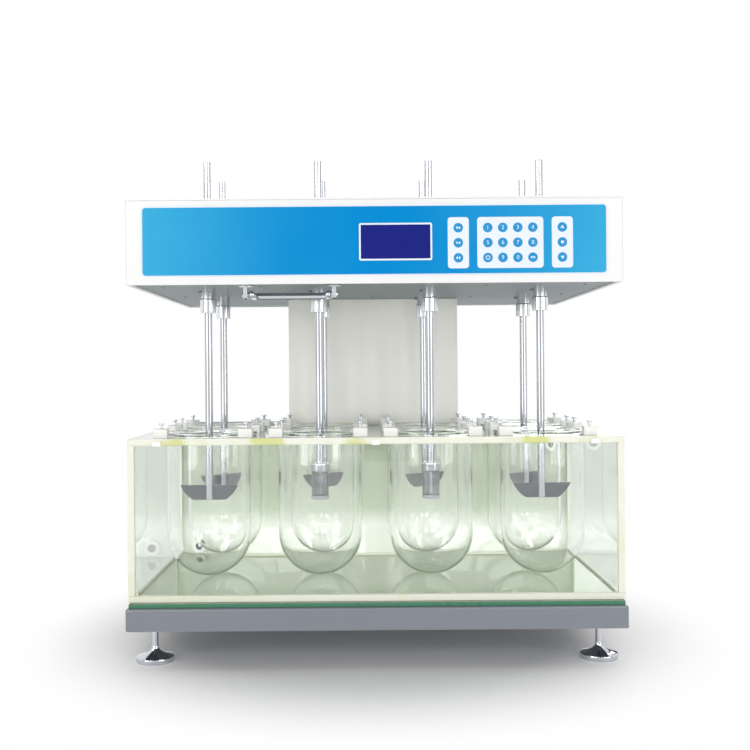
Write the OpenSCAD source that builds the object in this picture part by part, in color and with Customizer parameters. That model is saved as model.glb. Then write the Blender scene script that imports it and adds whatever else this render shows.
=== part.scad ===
// Dissolution tester with eight stirring stations over a clear water bath.
// Millimetres, +Z up, +Y to the rear, origin on the bench under the middle of the base.

/* [Stations] */
// Distance between stations along a row
station_pitch = 144; // [140:1:165]
// Distance between the front row and the rear row
row_pitch = 144; // [140:1:165]

/* [Vessels] */
// Outer diameter of a glass vessel
vessel_od = 108; // [102:0.5:112]
// Glass thickness
vessel_wall = 2.5; // [2:0.1:4]
// Height of a vessel from its round bottom to the top of its flange
vessel_h = 186; // [170:1:200]
// Diameter of the flange that rests on the cover plate
flange_od = 124; // [118:0.5:125]
// Thickness of the flange
flange_t = 5; // [3:0.5:7]
// Gap between a vessel's bottom and the floor of the bath
vessel_gap = 13; // [6:1:30]

/* [Water bath] */
// Thickness of the acrylic floor and walls
wall_t = 8; // [5:0.5:10]
// Thickness of the cover plate
plate_t = 8; // [6:0.5:10]
// From the axis of an end station to the inner face of the side wall
end_margin = 83; // [72:1:110]
// From the axis of a row to the inner face of the front or rear wall
row_margin = 63; // [60:0.5:80]
// Thickness of the glass sheet under the bath
glass_t = 5; // [3:0.5:8]
// How far the glass sheet stands out in front of the bath
glass_lip = 8; // [2:0.5:12]
// Outer radius of a bath port
port_r = 8; // [5:0.5:10]

/* [Centring blocks] */
// Width of a centring block along the row
block_w = 18; // [14:0.5:20]
// Depth of a centring block
block_d = 20; // [14:0.5:22]
// Height of a centring block
block_h = 11; // [6:0.5:14]
// Place of a block along the row, from the vessel's axis
block_x = 53; // [50:0.5:56]
// Place of a block across the row, from the vessel's axis
block_y = 46; // [42:0.5:48]
// Radius of a thumbscrew's stem
thumb_r = 1.75; // [1:0.05:2.5]
// Width of the lugs on the front edge of the cover plate
lug_w = 10; // [6:0.5:20]

/* [Base] */
// Height of the levelling feet under the tray
foot_h = 48; // [44:1:70]
// Radius of a foot's pad
foot_r = 24; // [16:0.5:27]
// Radius of a foot's stem
stem_r = 4; // [3:0.25:6]
// How far a foot stands in from the side of the tray
foot_in_x = 28; // [28:1:60]
// How far a foot stands in from the front and the rear of the tray
foot_in_y = 46; // [28:1:80]
// Height of the base tray
tray_h = 27; // [24:1:50]
// Sheet thickness of the tray, the chassis, the column and the head cover
sheet_t = 2; // [1:0.25:3]
// How far the tray stands out on each side of the bath
side_lip = 1; // [0.5:0.5:20]
// How far the tray stands out in front of the bath
front_lip = 16; // [14:0.5:40]
// Depth of the rear chassis
chassis_d = 144; // [138:1:220]

/* [Column and lift] */
// Width of the column
column_w = 256; // [236:1:300]
// Depth of the column
column_d = 120; // [112:1:125]
// Travel of the head down from the pose in the photo
lift_down = 70; // [30:1:75]
// Travel of the head up from the pose in the photo
lift_up = 100; // [50:1:110]
// Radius of the two guide rods
rod_r = 10; // [6:0.5:14]
// Distance between the guide rods
rod_span = 150; // [100:1:180]
// Radius of the gas spring's cylinder
gas_r = 14; // [10:0.5:18]

/* [Head] */
// From the axis of an end station to the side of the head
head_end = 88; // [70:1:110]
// Height of the head
head_h = 105; // [95:1:150]
// Clear height between the cover plate and the head
head_gap = 189; // [170:1:230]
// Thickness of the head's base plate
deck_t = 6; // [4:0.5:10]
// Height of the blue front panel
panel_h = 85; // [76:1:90]
// Margin between the panel and each side of the head
panel_margin = 20; // [10:1:40]
// Width of the display window
display_w = 85; // [60:1:90]
// Height of the display window
display_h = 41.5; // [25:0.5:50]
// Place of the display's middle, to the right of the head's middle
display_x = 26; // [10:1:28]
// Radius of a key
key_r = 5.9; // [4:0.1:7]
// Distance between keys
key_pitch = 18.3; // [16:0.1:20]
// Travel of a key
key_travel = 0.6; // [0.2:0.1:0.8]
// Distance between the pivots of the folding handle
handle_span = 105; // [80:1:130]
// Length of the handle's arms
handle_reach = 35; // [28:1:40]
// Radius of the handle's rod
handle_r = 4.5; // [3:0.25:5]

/* [Stirrers] */
// Radius of a stirrer shaft
shaft_r = 5; // [4:0.1:6]
// How far the shafts stand out of the head's top
shaft_stand = 62; // [20:1:120]
// From the inside of a vessel's bottom to the stirrer's lower end
stir_gap = 95; // [80:1:120]
// Length of a chuck below the head
chuck_drop = 30; // [20:1:45]
// Radius of a chuck at its collar
chuck_r = 10.5; // [9.5:0.1:14]
// Width of a paddle blade at its top
blade_top = 74.5; // [60:0.5:80]
// Width of a paddle blade at its bottom
blade_bottom = 42; // [30:0.5:50]
// Height of a paddle blade
blade_h = 19; // [14:0.5:24]
// Thickness of a paddle blade
blade_t = 4; // [2:0.1:6]
// Turn of the rear paddles from the row's direction
rear_turn = 34; // [0:1:90]
// Outer radius of a basket
basket_r = 11.1; // [9:0.1:13]
// Height of a basket
basket_h = 44; // [36:1:50]

/* [Hidden] */
$fn = 64;
COLUMNS = 4;
STATIONS = 8;
PAD_ROWS = 3;
PAD_COLUMNS = 4;
BASKET_STATIONS = [2, 3];
KEYS = concat(
    [for (i = [1:PAD_ROWS]) str("key_left_", i)],
    [for (i = [1:PAD_ROWS * PAD_COLUMNS]) str("key_pad_", i)],
    [for (i = [1:PAD_ROWS]) str("key_right_", i)]
);
FEET = ["foot_front_left", "foot_front_right", "foot_rear_left", "foot_rear_right"];

// Small clearances
cut = 1;
run_gap = 0.05;
glue_gap = 0.05;
loose_gap = 0.3;
slip_gap = 1.5;
seat_gap = 2;

// Places in plan
vessel_r = vessel_od / 2;
bore_r = vessel_r - vessel_wall;
row_len = (COLUMNS - 1) * station_pitch;
tank_w = row_len + 2 * (end_margin + wall_t);
tank_d = row_pitch + 2 * (row_margin + wall_t);
chassis_gap = 2;
rear_lip = 4;
base_w = tank_w + 2 * side_lip;
base_d = front_lip + tank_d + chassis_gap + chassis_d + rear_lip;
tank_y = -base_d / 2 + front_lip;
front_y = tank_y + wall_t + row_margin;
rear_y = front_y + row_pitch;
tank_mid = tank_y + tank_d / 2;
chassis_w = tank_w - 2;
chassis_y = tank_y + tank_d + chassis_gap;
column_y = chassis_y + sheet_t + seat_gap;
column_mid = column_y + column_d / 2;
head_w = row_len + 2 * head_end;
head_in = 2;
head_d = base_d - 2 * head_in;
head_y = -head_d / 2;

// Heights
tray_top = foot_h + tray_h;
tank_z = tray_top + glass_t;
floor_top = tank_z + wall_t;
vessel_z = floor_top + vessel_gap;
bowl_z = vessel_z + vessel_r;
rim_z = vessel_z + vessel_h;
plate_top = rim_z - flange_t;
wall_top = plate_top - plate_t;
head_z = plate_top + head_gap;
head_top = head_z + head_h;
deck_z = head_z + sheet_t;
deck_top = deck_z + deck_t;
stir_z = vessel_z + vessel_wall + stir_gap;
shaft_top = head_top + shaft_stand;
column_z = tray_top + lift_down + 2 * seat_gap;
lid_t = 3;
lid_z = plate_top - lid_t;
hole_r = vessel_r + 1;

// Stirrer drive
tube_r = shaft_r + 4;
housing_h = 38;
pulley_z = deck_top + housing_h + 3;
pulley_r = 19;
pulley_rim = 22;
pulley_h = 13;
rim_t = 1.5;
belt_t = 1.7;
motor_r = 30;
motor_shaft_r = 4;
spindle_top = pulley_z + pulley_h + 5;

// Front panel
panel_w = head_w - 2 * panel_margin;
panel_t = 1.2;
panel_mid = head_z + head_h / 2;
panel_back = head_y;
panel_front = panel_back - panel_t;
key_z = panel_mid - 4;
display_z = key_z + 2;
field_gap = 10;
field_edge = 7.1;
field_step = 2 * (key_r + field_edge) + field_gap;
display_gap = 34;
left_x = display_x + display_w / 2 + display_gap;
pad_x = left_x + field_step;
right_x = pad_x + (PAD_COLUMNS - 1) * key_pitch + field_step;
key_flange_h = 1.4;
board_gap = 5;
switch_gap = 0.1;
switch_h = board_gap - key_flange_h - key_travel - switch_gap;

// Folding handle
handle_x = -105;
handle_y = head_y + 24;
handle_z = head_z - 11;
handle_bend = 9;
pin_r = 2.5;
ear_t = 5;
ear_r = 7;

// Lift
mast_edge = 30;
mast_w = rod_span + 2 * mast_edge;
mast_t = 10;
mast_h = 295;
boss_r = rod_r + 8;
boss_top = tray_top + mast_h;
boss_h = 80;
mast_y = column_mid + boss_r;
foot_plate_t = 8;
foot_plate_d = 86;
rod_z = tray_top + foot_plate_t + lift_down + seat_gap;
gas_bore = gas_r - 3;
gas_rod_r = 5;
gas_z = tray_top + foot_plate_t;
gas_top = gas_z + lift_down + lift_up + 40;
gas_cap = 8;
piston_h = 10;
piston_z = gas_z + lift_down + 14;

// Rear fittings
inlet_x = 225;
inlet_z = tray_top + 45;
back_y = chassis_y + chassis_d;
inlet_w = 50;
inlet_h = 28;
rocker_w = 14;
rocker_h = 20;
rocker_x = inlet_x - 50;
rocker_tilt = 10;
rocker_pin = 1.5;
port_reach = 20;
low_port = [-tank_w / 2 + 42, floor_top + 13];
high_port = [tank_w / 2 - 37, wall_top - 20];

function station_x(n) = (((n - 1) % COLUMNS) - (COLUMNS - 1) / 2) * station_pitch;
function station_y(n) = n <= COLUMNS ? front_y : rear_y;
function is_basket(n) = len(search(n, BASKET_STATIONS)) > 0;
function key_place(i) =
    i < PAD_ROWS ? [left_x, key_z + (1 - i) * key_pitch]
    : i < PAD_ROWS + PAD_ROWS * PAD_COLUMNS
    ? [pad_x + ((i - PAD_ROWS) % PAD_COLUMNS) * key_pitch,
       key_z + (1 - floor((i - PAD_ROWS) / PAD_COLUMNS)) * key_pitch]
    : [right_x, key_z + (1 - (i - PAD_ROWS - PAD_ROWS * PAD_COLUMNS)) * key_pitch];

module rounded_rect(w, d, r) {
    square([w - 2 * r, d], center = true);
    square([w, d - 2 * r], center = true);
    for (sx = [-1, 1], sy = [-1, 1])
        translate([sx * (w / 2 - r), sy * (d / 2 - r)]) circle(r);
}

module slab(w, d, h, r) {
    linear_extrude(h) rounded_rect(w, d, r);
}

// A box given by its middle in X and its near corner in Y and Z
module block(w, d, h) {
    translate([-w / 2, 0, 0]) cube([w, d, h]);
}

module along_y(r, h) {
    rotate([-90, 0, 0]) cylinder(r = r, h = h);
}

module along_x(r, h) {
    rotate([0, 90, 0]) cylinder(r = r, h = h);
}

module at_station(n) {
    translate([station_x(n), station_y(n), 0]) children();
}

module at_feet() {
    for (sx = [-1, 1], sy = [-1, 1])
        translate([sx * (base_w / 2 - foot_in_x), sy * (base_d / 2 - foot_in_y), 0]) children();
}

module base_tray() {
    inner_r = 4;
    tray_r = inner_r + sheet_t;
    nut_h = 3;
    nut_r = stem_r + 4;
    color([0.53, 0.56, 0.61]) difference() {
        union() {
            translate([0, 0, foot_h]) slab(base_w, base_d, tray_h, tray_r);
            at_feet() translate([0, 0, foot_h - nut_h]) cylinder(r = nut_r, h = nut_h + cut);
        }
        difference() {
            translate([0, 0, foot_h - cut])
                slab(base_w - 2 * sheet_t, base_d - 2 * sheet_t, tray_h - sheet_t + cut, inner_r);
            at_feet() translate([0, 0, foot_h - 2 * cut]) cylinder(r = nut_r, h = tray_h);
        }
        at_feet() translate([0, 0, foot_h - nut_h - cut])
            cylinder(r = stem_r + run_gap, h = tray_h - sheet_t + nut_h + cut);
    }
}

module levelling_foot(i) {
    rim_h = 7;
    neck_h = foot_h - 14;
    shoulder_r = foot_r - 3;
    steps = 10;
    neck = [for (k = [0:steps])
        [stem_r + (shoulder_r - stem_r) * pow(1 - k / steps, 3),
         rim_h + 1.5 + (neck_h - rim_h) * k / steps]];
    x = (i % 2 == 0 ? -1 : 1) * (base_w / 2 - foot_in_x);
    y = (i < 2 ? -1 : 1) * (base_d / 2 - foot_in_y);
    color([0.8, 0.82, 0.84]) translate([x, y, 0]) rotate_extrude() polygon(concat(
        [[0, 0], [foot_r - 1.5, 0], [foot_r, 1.5], [foot_r, rim_h - 1], [foot_r - 1, rim_h]],
        neck,
        [[stem_r, foot_h + 14], [0, foot_h + 14]]
    ));
}

module glass_sheet() {
    sheet_w = tank_w - 4;
    color([0.4, 0.7, 0.55, 0.6]) translate([0, tank_y - glass_lip, tray_top])
        block(sheet_w, tank_d + glass_lip + 1, glass_t);
}

module water_tank() {
    wall_z = floor_top + glue_gap;
    wall_h = wall_top - wall_z;
    inner_w = tank_w - 2 * (wall_t + glue_gap);
    color([0.9, 0.94, 0.92, 0.35]) {
        translate([0, tank_y, tank_z]) block(tank_w, tank_d, wall_t);
        for (s = [-1, 1])
            translate([s * (tank_w - wall_t) / 2, tank_y, wall_z]) block(wall_t, tank_d, wall_h);
        translate([0, tank_y, wall_z]) block(inner_w, wall_t, wall_h);
        difference() {
            translate([0, tank_y + tank_d - wall_t, wall_z]) block(inner_w, wall_t, wall_h);
            for (p = [low_port, high_port])
                translate([p[0], tank_y + tank_d - wall_t - cut, p[1]])
                    along_y(port_r + run_gap, wall_t + 2 * cut);
        }
    }
}

module vessel_plate() {
    color([0.93, 0.95, 0.9, 0.4]) difference() {
        translate([0, tank_mid, wall_top]) slab(tank_w, tank_d, plate_t, 2);
        for (n = [1:STATIONS])
            at_station(n) translate([0, 0, wall_top - cut]) cylinder(r = hole_r, h = plate_t + 2 * cut);
    }
}

module vessel() {
    difference() {
        union() {
            translate([0, 0, bowl_z]) sphere(vessel_r);
            translate([0, 0, bowl_z]) cylinder(r = vessel_r, h = rim_z - bowl_z);
            translate([0, 0, plate_top]) cylinder(r = flange_od / 2, h = flange_t);
        }
        translate([0, 0, bowl_z]) sphere(bore_r);
        translate([0, 0, bowl_z]) cylinder(r = bore_r, h = rim_z - bowl_z + cut);
    }
}

module vessel_row(first) {
    color([0.9, 0.93, 0.95, 0.3])
        for (n = [first:first + COLUMNS - 1]) at_station(n) vessel();
}

module vessel_clamps() {
    thumb_head = 3.25;
    thumb_head_h = 2.5;
    thumb_stand = 5;
    thumb_depth = 6;
    lug_h = 6;
    lug_d = 4;
    lug_x = row_len / 2 + 54;
    color([0.95, 0.95, 0.92]) {
        for (n = [1:STATIONS]) at_station(n) difference() {
            for (sx = [-1, 1], sy = [-1, 1]) translate([sx * block_x, sy * block_y, plate_top]) difference() {
                slab(block_w, block_d, block_h, 2);
                translate([0, 0, block_h - thumb_depth])
                    cylinder(r = thumb_r + run_gap, h = thumb_depth + cut);
            }
            translate([0, 0, plate_top - cut]) cylinder(r = flange_od / 2 + loose_gap, h = block_h + 2 * cut);
        }
        for (x = [-lug_x, 0, lug_x])
            translate([x, tank_y - lug_d, wall_top - 1]) block(lug_w, lug_d, lug_h);
    }
    color([0.85, 0.86, 0.86])
        for (n = [1:STATIONS]) at_station(n)
            for (sx = [-1, 1], sy = [-1, 1])
                translate([sx * block_x, sy * block_y, plate_top + block_h]) {
                    translate([0, 0, -thumb_depth + run_gap])
                        cylinder(r = thumb_r, h = thumb_depth + thumb_stand);
                    translate([0, 0, thumb_stand - run_gap]) cylinder(r = thumb_head, h = thumb_head_h);
                }
}

module tank_ports() {
    nut_r = port_r + 3.5;
    nut_t = 5;
    color([0.9, 0.9, 0.88])
        for (p = [low_port, high_port])
            translate([p[0], tank_y + tank_d - wall_t, p[1]]) difference() {
                union() {
                    along_y(port_r, wall_t + chassis_gap + port_reach);
                    translate([0, -nut_t, 0]) along_y(nut_r, nut_t);
                }
                translate([0, -nut_t - cut, 0])
                    along_y(port_r - 2, wall_t + chassis_gap + port_reach + nut_t + 2 * cut);
            }
}

module rear_chassis() {
    vent_w = 4;
    vent_h = 60;
    vents = 10;
    vent_pitch = 10;
    vent_x = -chassis_w / 4 - (vents - 1) / 2 * vent_pitch;
    vent_z = tray_top + 70;
    color([0.94, 0.93, 0.91]) difference() {
        translate([0, chassis_y, tray_top]) block(chassis_w, chassis_d, lid_z - glue_gap - tray_top);
        translate([0, chassis_y + sheet_t, tray_top - cut])
            block(chassis_w - 2 * sheet_t, chassis_d - 2 * sheet_t, lid_z - tray_top + 2 * cut);
        for (p = [low_port, high_port])
            translate([p[0], chassis_y - cut, p[1]]) along_y(port_r + loose_gap, sheet_t + 2 * cut);
        for (i = [0:vents - 1])
            translate([vent_x + i * vent_pitch, back_y - sheet_t - cut, vent_z])
                block(vent_w, sheet_t + 2 * cut, vent_h);
        translate([inlet_x, back_y - sheet_t - cut, inlet_z - inlet_h / 2 + 2])
            block(inlet_w - 4, sheet_t + 2 * cut, inlet_h - 4);
        translate([rocker_x, back_y - sheet_t - cut, inlet_z - rocker_h / 2 - 2])
            block(rocker_w + 4, sheet_t + 2 * cut, rocker_h + 4);
    }
    color([0.6, 0.62, 0.63]) difference() {
        translate([0, chassis_y, lid_z]) block(chassis_w, chassis_d, lid_t);
        translate([0, column_y - slip_gap, lid_z - cut])
            block(column_w + 2 * slip_gap, column_d + 2 * slip_gap, lid_t + 2 * cut);
    }
}

module circulation_heater() {
    heater_w = 100;
    heater_d = 90;
    heater_h = 80;
    heater_x = -chassis_w / 2 + 14 + heater_w / 2;
    pump_r = 32;
    pump_h = 66;
    pump_x = chassis_w / 2 - 52;
    pump_y = chassis_y + chassis_d / 2;
    pipe_r = 6;
    elbow = 2 * pipe_r + 2;
    pipe_y = back_y - sheet_t - elbow / 2 - 1;
    pipe_z = tray_top + 14;
    stub_y = tank_y + tank_d + chassis_gap + port_reach;
    heater_y = stub_y + 6;
    riser_y = stub_y + port_r + 2;
    riser_box = 2 * port_r + 2;
    riser_z = tray_top + 30;
    color([0.7, 0.7, 0.72]) {
        translate([heater_x, heater_y, tray_top]) block(heater_w, heater_d, heater_h);
        translate([low_port[0], stub_y, low_port[1]]) along_y(port_r, heater_y - stub_y + cut);
        translate([heater_x, heater_y + heater_d - cut, pipe_z])
            along_y(pipe_r, pipe_y - heater_y - heater_d + cut);
        translate([heater_x, pipe_y, pipe_z]) along_x(pipe_r, pump_x - heater_x);
        for (x = [heater_x, pump_x])
            translate([x, pipe_y - elbow / 2, pipe_z - elbow / 2]) block(elbow, elbow, elbow);
        translate([pump_x, pump_y, pipe_z]) along_y(pipe_r, pipe_y - pump_y);
        translate([pump_x, pump_y, tray_top]) cylinder(r = pump_r, h = pump_h);
        translate([high_port[0], riser_y, riser_z]) cylinder(r = port_r, h = high_port[1] - riser_z);
        translate([high_port[0], stub_y, high_port[1]]) along_y(port_r, port_r);
        for (z = [riser_z, high_port[1]])
            translate([high_port[0], riser_y - riser_box / 2 + 1, z - riser_box / 2])
                block(riser_box, riser_box, riser_box);
        translate([high_port[0], riser_y, riser_z]) along_y(port_r, pump_y - riser_y);
    }
}

module lift_mast() {
    color([0.35, 0.37, 0.4]) difference() {
        union() {
            translate([0, column_mid - foot_plate_d / 2, tray_top]) block(mast_w, foot_plate_d, foot_plate_t);
            translate([0, mast_y, tray_top]) block(mast_w, mast_t, boss_top - tray_top);
            for (s = [-1, 1]) translate([s * rod_span / 2, column_mid, boss_top - boss_h]) {
                cylinder(r = boss_r, h = boss_h);
                block(boss_r, boss_r + cut, boss_h);
            }
        }
        for (s = [-1, 1]) translate([s * rod_span / 2, column_mid, boss_top - boss_h - cut])
            cylinder(r = rod_r + run_gap, h = boss_h + 2 * cut);
    }
}

module gas_spring_cylinder() {
    color([0.15, 0.15, 0.16]) translate([0, column_mid, gas_z]) difference() {
        cylinder(r = gas_r, h = gas_top - gas_z);
        translate([0, 0, gas_cap]) cylinder(r = gas_bore, h = gas_top - gas_z - 2 * gas_cap);
        translate([0, 0, gas_cap]) cylinder(r = gas_rod_r + run_gap, h = gas_top - gas_z);
    }
}

module lift_rods() {
    color([0.82, 0.83, 0.85]) {
        for (s = [-1, 1]) translate([s * rod_span / 2, column_mid, rod_z])
            cylinder(r = rod_r, h = deck_z - rod_z);
        translate([0, column_mid, piston_z]) cylinder(r = gas_bore - run_gap, h = piston_h);
        translate([0, column_mid, piston_z]) cylinder(r = gas_rod_r, h = deck_z - piston_z);
    }
}

module column_cover() {
    flange_w = 14;
    color([0.94, 0.93, 0.91]) difference() {
        translate([0, column_y, column_z]) block(column_w, column_d, deck_z - column_z);
        translate([0, column_y + sheet_t, column_z - cut])
            block(column_w - 2 * sheet_t, column_d - 2 * sheet_t, deck_z - sheet_t - column_z + cut);
        translate([0, column_y + flange_w, column_z])
            block(column_w - 2 * flange_w, column_d - 2 * flange_w, deck_z - column_z + cut);
    }
}

module mains_inlet() {
    bezel_t = 1.5;
    body_d = 22;
    socket_w = 26;
    socket_h = 18;
    color([0.08, 0.08, 0.09]) {
        difference() {
            union() {
                translate([inlet_x, back_y, inlet_z - inlet_h / 2]) block(inlet_w, bezel_t, inlet_h);
                translate([inlet_x, back_y - body_d, inlet_z - inlet_h / 2 + 3])
                    block(inlet_w - 6, body_d + bezel_t, inlet_h - 6);
            }
            translate([inlet_x, back_y - body_d + 4, inlet_z - socket_h / 2])
                block(socket_w, body_d, socket_h);
        }
        difference() {
            union() {
                translate([rocker_x, back_y, inlet_z - rocker_h / 2 - 4])
                    block(rocker_w + 8, bezel_t, rocker_h + 8);
                translate([rocker_x, back_y - body_d, inlet_z - rocker_h / 2 - 1.5])
                    block(rocker_w + 3, body_d + bezel_t, rocker_h + 3);
            }
            translate([rocker_x, back_y - body_d + 4, inlet_z - rocker_h / 2 - loose_gap])
                block(rocker_w + 2 * loose_gap, body_d, rocker_h + 2 * loose_gap);
            translate([rocker_x - rocker_w / 2 - 1 - run_gap, back_y - 3, inlet_z])
                along_x(rocker_pin + run_gap, rocker_w + 2 + 2 * run_gap);
        }
    }
}

module power_switch() {
    back = 6;
    color([0.1, 0.1, 0.11]) translate([rocker_x, back_y - 3, inlet_z]) {
        intersection() {
            rotate([rocker_tilt, 0, 0]) translate([-rocker_w / 2, 0, 0])
                rotate([90, 0, 90]) linear_extrude(rocker_w) polygon([
                    [-back, -3], [-back, 3], [0, 7], [4.2, 9.3], [3, 0], [4.2, -9.3], [0, -7]
                ]);
            translate([0, -back - 4, -rocker_h / 2]) block(rocker_w, back + 14, rocker_h);
        }
        translate([-rocker_w / 2 - 1, 0, 0]) along_x(rocker_pin, rocker_w + 2);
    }
}

module head_cover() {
    inner_r = 1;
    lip = sheet_t + 4;
    window_in = 12;
    seal_hole = shaft_r + 2;
    inner_w = head_w - 2 * sheet_t;
    inner_d = head_d - 2 * sheet_t;
    color([0.95, 0.95, 0.95]) difference() {
        translate([0, 0, head_z]) slab(head_w, head_d, head_h, inner_r + sheet_t);
        translate([0, 0, deck_z]) slab(inner_w, inner_d, head_h - 2 * sheet_t, inner_r);
        translate([0, 0, head_z - cut]) slab(head_w - 2 * lip, head_d - 2 * lip, 2 * cut + sheet_t, inner_r);
        translate([0, head_y - cut, panel_mid - panel_h / 2 + window_in])
            block(panel_w - 2 * window_in, sheet_t + 2 * cut, panel_h - 2 * window_in);
        for (n = [1:STATIONS]) at_station(n)
            translate([0, 0, head_top - sheet_t - cut]) cylinder(r = seal_hole, h = sheet_t + 2 * cut);
        // seams that part the flat top lid and the flat rear panel from the folded front and sides
        translate([0, head_y - cut, head_top - sheet_t - loose_gap])
            block(head_w + 2 * cut, head_d - sheet_t + cut, loose_gap);
        translate([0, head_y + head_d - sheet_t - loose_gap, head_z - cut])
            block(head_w + 2 * cut, loose_gap, head_h + 2 * cut);
    }
}

module head_base_plate() {
    screw_r = 3;
    color([0.6, 0.63, 0.65]) difference() {
        translate([0, 0, deck_z])
            slab(head_w - 2 * (sheet_t + loose_gap), head_d - 2 * (sheet_t + loose_gap), deck_t, 1);
        for (n = [1:STATIONS]) at_station(n)
            translate([0, 0, deck_z - cut]) cylinder(r = tube_r + 2 * loose_gap, h = deck_t + 2 * cut);
        for (k = [-1:1]) translate([k * station_pitch, front_y, deck_z - cut])
            cylinder(r = screw_r, h = deck_t + 2 * cut);
    }
}

module front_panel() {
    corner_r = 5;
    color([0.05, 0.55, 0.85]) difference() {
        translate([0, panel_back, panel_mid]) rotate([90, 0, 0]) slab(panel_w, panel_h, panel_t, corner_r);
        translate([display_x, panel_front - cut, display_z - display_h / 2])
            block(display_w, panel_t + 2 * cut, display_h);
        for (i = [0:len(KEYS) - 1]) translate([key_place(i)[0], panel_front - cut, key_place(i)[1]])
            along_y(key_r + loose_gap, panel_t + 2 * cut);
    }
}

module display_window() {
    rim = 3;
    pane_t = 0.8;
    color([0.13, 0.16, 0.45]) {
        translate([display_x, panel_back - pane_t, display_z - display_h / 2 + run_gap])
            block(display_w - 2 * run_gap, pane_t + 2, display_h - 2 * run_gap);
        translate([display_x, panel_back, display_z - display_h / 2 - rim])
            block(display_w + 2 * rim, board_gap, display_h + 2 * rim);
    }
}

module key(i) {
    cap_h = 0.6;
    edge = 0.4;
    flange_r = key_r + 1.2;
    dome_r = key_r - 1.2;
    cap_top = panel_t + cap_h;
    p = key_place(i);
    color([0.18, 0.59, 0.8]) translate([p[0], panel_back, p[1]]) rotate([90, 0, 0]) rotate_extrude() polygon([
        [0, -key_flange_h], [flange_r, -key_flange_h], [flange_r, 0], [key_r, 0],
        [key_r, cap_top - edge], [dome_r, cap_top], [0, cap_top]
    ]);
}

module control_board() {
    board_t = 1.6;
    board_w = right_x - display_x + display_w / 2 + 34;
    board_x = display_x - display_w / 2 - 14 + board_w / 2;
    board_h = 66;
    post_r = 2.5;
    post_in = 4;
    post_z = 22;
    switch_w = 6;
    board_y = panel_back + board_gap;
    color([0.1, 0.4, 0.2]) {
        translate([board_x, board_y, key_z - board_h / 2]) block(board_w, board_t, board_h);
        for (sx = [-1, 1], sz = [-1, 1])
            translate([board_x + sx * (board_w / 2 - post_in), panel_back, key_z + sz * post_z])
                along_y(post_r, board_gap + cut);
        for (i = [0:len(KEYS) - 1])
            translate([key_place(i)[0], board_y - switch_h, key_place(i)[1] - switch_w / 2])
                block(switch_w, switch_h + cut, switch_w);
    }
}

module handle_brackets() {
    rose_r = 9;
    rose_h = 3;
    color([0.8, 0.82, 0.84]) for (s = [-1, 1])
        translate([handle_x + s * (handle_span / 2 + ear_t / 2), handle_y, 0]) difference() {
            union() {
                translate([0, 0, deck_z - rose_h]) cylinder(r = rose_r, h = rose_h);
                translate([0, -ear_r, handle_z]) block(ear_t, 2 * ear_r, deck_z - handle_z);
                translate([-ear_t / 2, 0, handle_z]) along_x(ear_r, ear_t);
            }
            translate([-ear_t / 2 - cut, 0, handle_z]) along_x(pin_r + run_gap, ear_t + 2 * cut);
        }
}

module lift_handle() {
    arm_x = handle_span / 2 - handle_r - loose_gap;
    bar_len = 2 * (arm_x - handle_bend);
    color([0.8, 0.82, 0.84]) translate([handle_x, handle_y, handle_z]) {
        translate([-bar_len / 2, handle_reach, 0]) along_x(handle_r, bar_len);
        for (s = [-1, 1]) {
            translate([s * arm_x, 0, 0]) along_y(handle_r, handle_reach - handle_bend);
            translate([s * arm_x, 0, 0]) sphere(handle_r);
            translate([s * bar_len / 2, handle_reach - handle_bend, 0]) rotate([0, 0, s > 0 ? 0 : 90])
                rotate_extrude(angle = 90) translate([handle_bend, 0]) circle(handle_r);
            translate([s > 0 ? arm_x : -arm_x - handle_r - loose_gap - ear_t, 0, 0])
                along_x(pin_r, handle_r + loose_gap + ear_t);
        }
    }
}

module bearing_housings() {
    color([0.66, 0.67, 0.69]) for (n = [1:STATIONS]) at_station(n) translate([0, 0, deck_top]) difference() {
        union() {
            cylinder(r = tube_r + 11, h = 4);
            cylinder(r = tube_r + 6, h = housing_h);
        }
        translate([0, 0, -cut]) cylinder(r = tube_r + run_gap, h = housing_h + 2 * cut);
    }
}

module shaft_seals() {
    seal_h = 2.5;
    lip_r = shaft_r + 2.8;
    color([0.08, 0.08, 0.08]) for (n = [1:STATIONS]) at_station(n) difference() {
        union() {
            translate([0, 0, head_top]) cylinder(r = lip_r, h = seal_h);
            translate([0, 0, head_top - sheet_t]) cylinder(r = shaft_r + 2 - run_gap, h = sheet_t + cut);
        }
        translate([0, 0, head_top - sheet_t - cut])
            cylinder(r = shaft_r + loose_gap, h = seal_h + sheet_t + 2 * cut);
    }
}

module pulley_profile() {
    translate([0, 0, pulley_z]) {
        cylinder(r = pulley_r, h = pulley_h);
        cylinder(r = pulley_rim, h = rim_t);
        translate([0, 0, pulley_h - rim_t]) cylinder(r = pulley_rim, h = rim_t);
    }
}

module drive_motor() {
    motor_h = housing_h - 4;
    color([0.2, 0.2, 0.22]) translate([0, rear_y, deck_top]) difference() {
        union() {
            cylinder(r = motor_r, h = motor_h);
            cylinder(r = 12, h = motor_h + 2);
        }
        translate([0, 0, 6]) cylinder(r = motor_shaft_r + run_gap, h = motor_h);
    }
}

module motor_pulley() {
    color([0.75, 0.76, 0.78]) translate([0, rear_y, 0]) {
        pulley_profile();
        translate([0, 0, deck_top + 7]) cylinder(r = motor_shaft_r, h = pulley_z - deck_top - 6);
    }
}

module drive_belt() {
    belt_in = pulley_r + loose_gap;
    belt_out = belt_in + belt_t;
    belt_gap = 0.5;
    color([0.1, 0.1, 0.1]) translate([0, (front_y + rear_y) / 2, pulley_z + rim_t + belt_gap]) difference() {
        slab(row_len + 2 * belt_out, row_pitch + 2 * belt_out, pulley_h - 2 * (rim_t + belt_gap), belt_out);
        translate([0, 0, -cut]) slab(row_len + 2 * belt_in, row_pitch + 2 * belt_in, pulley_h + cut, belt_in);
    }
}

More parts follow.
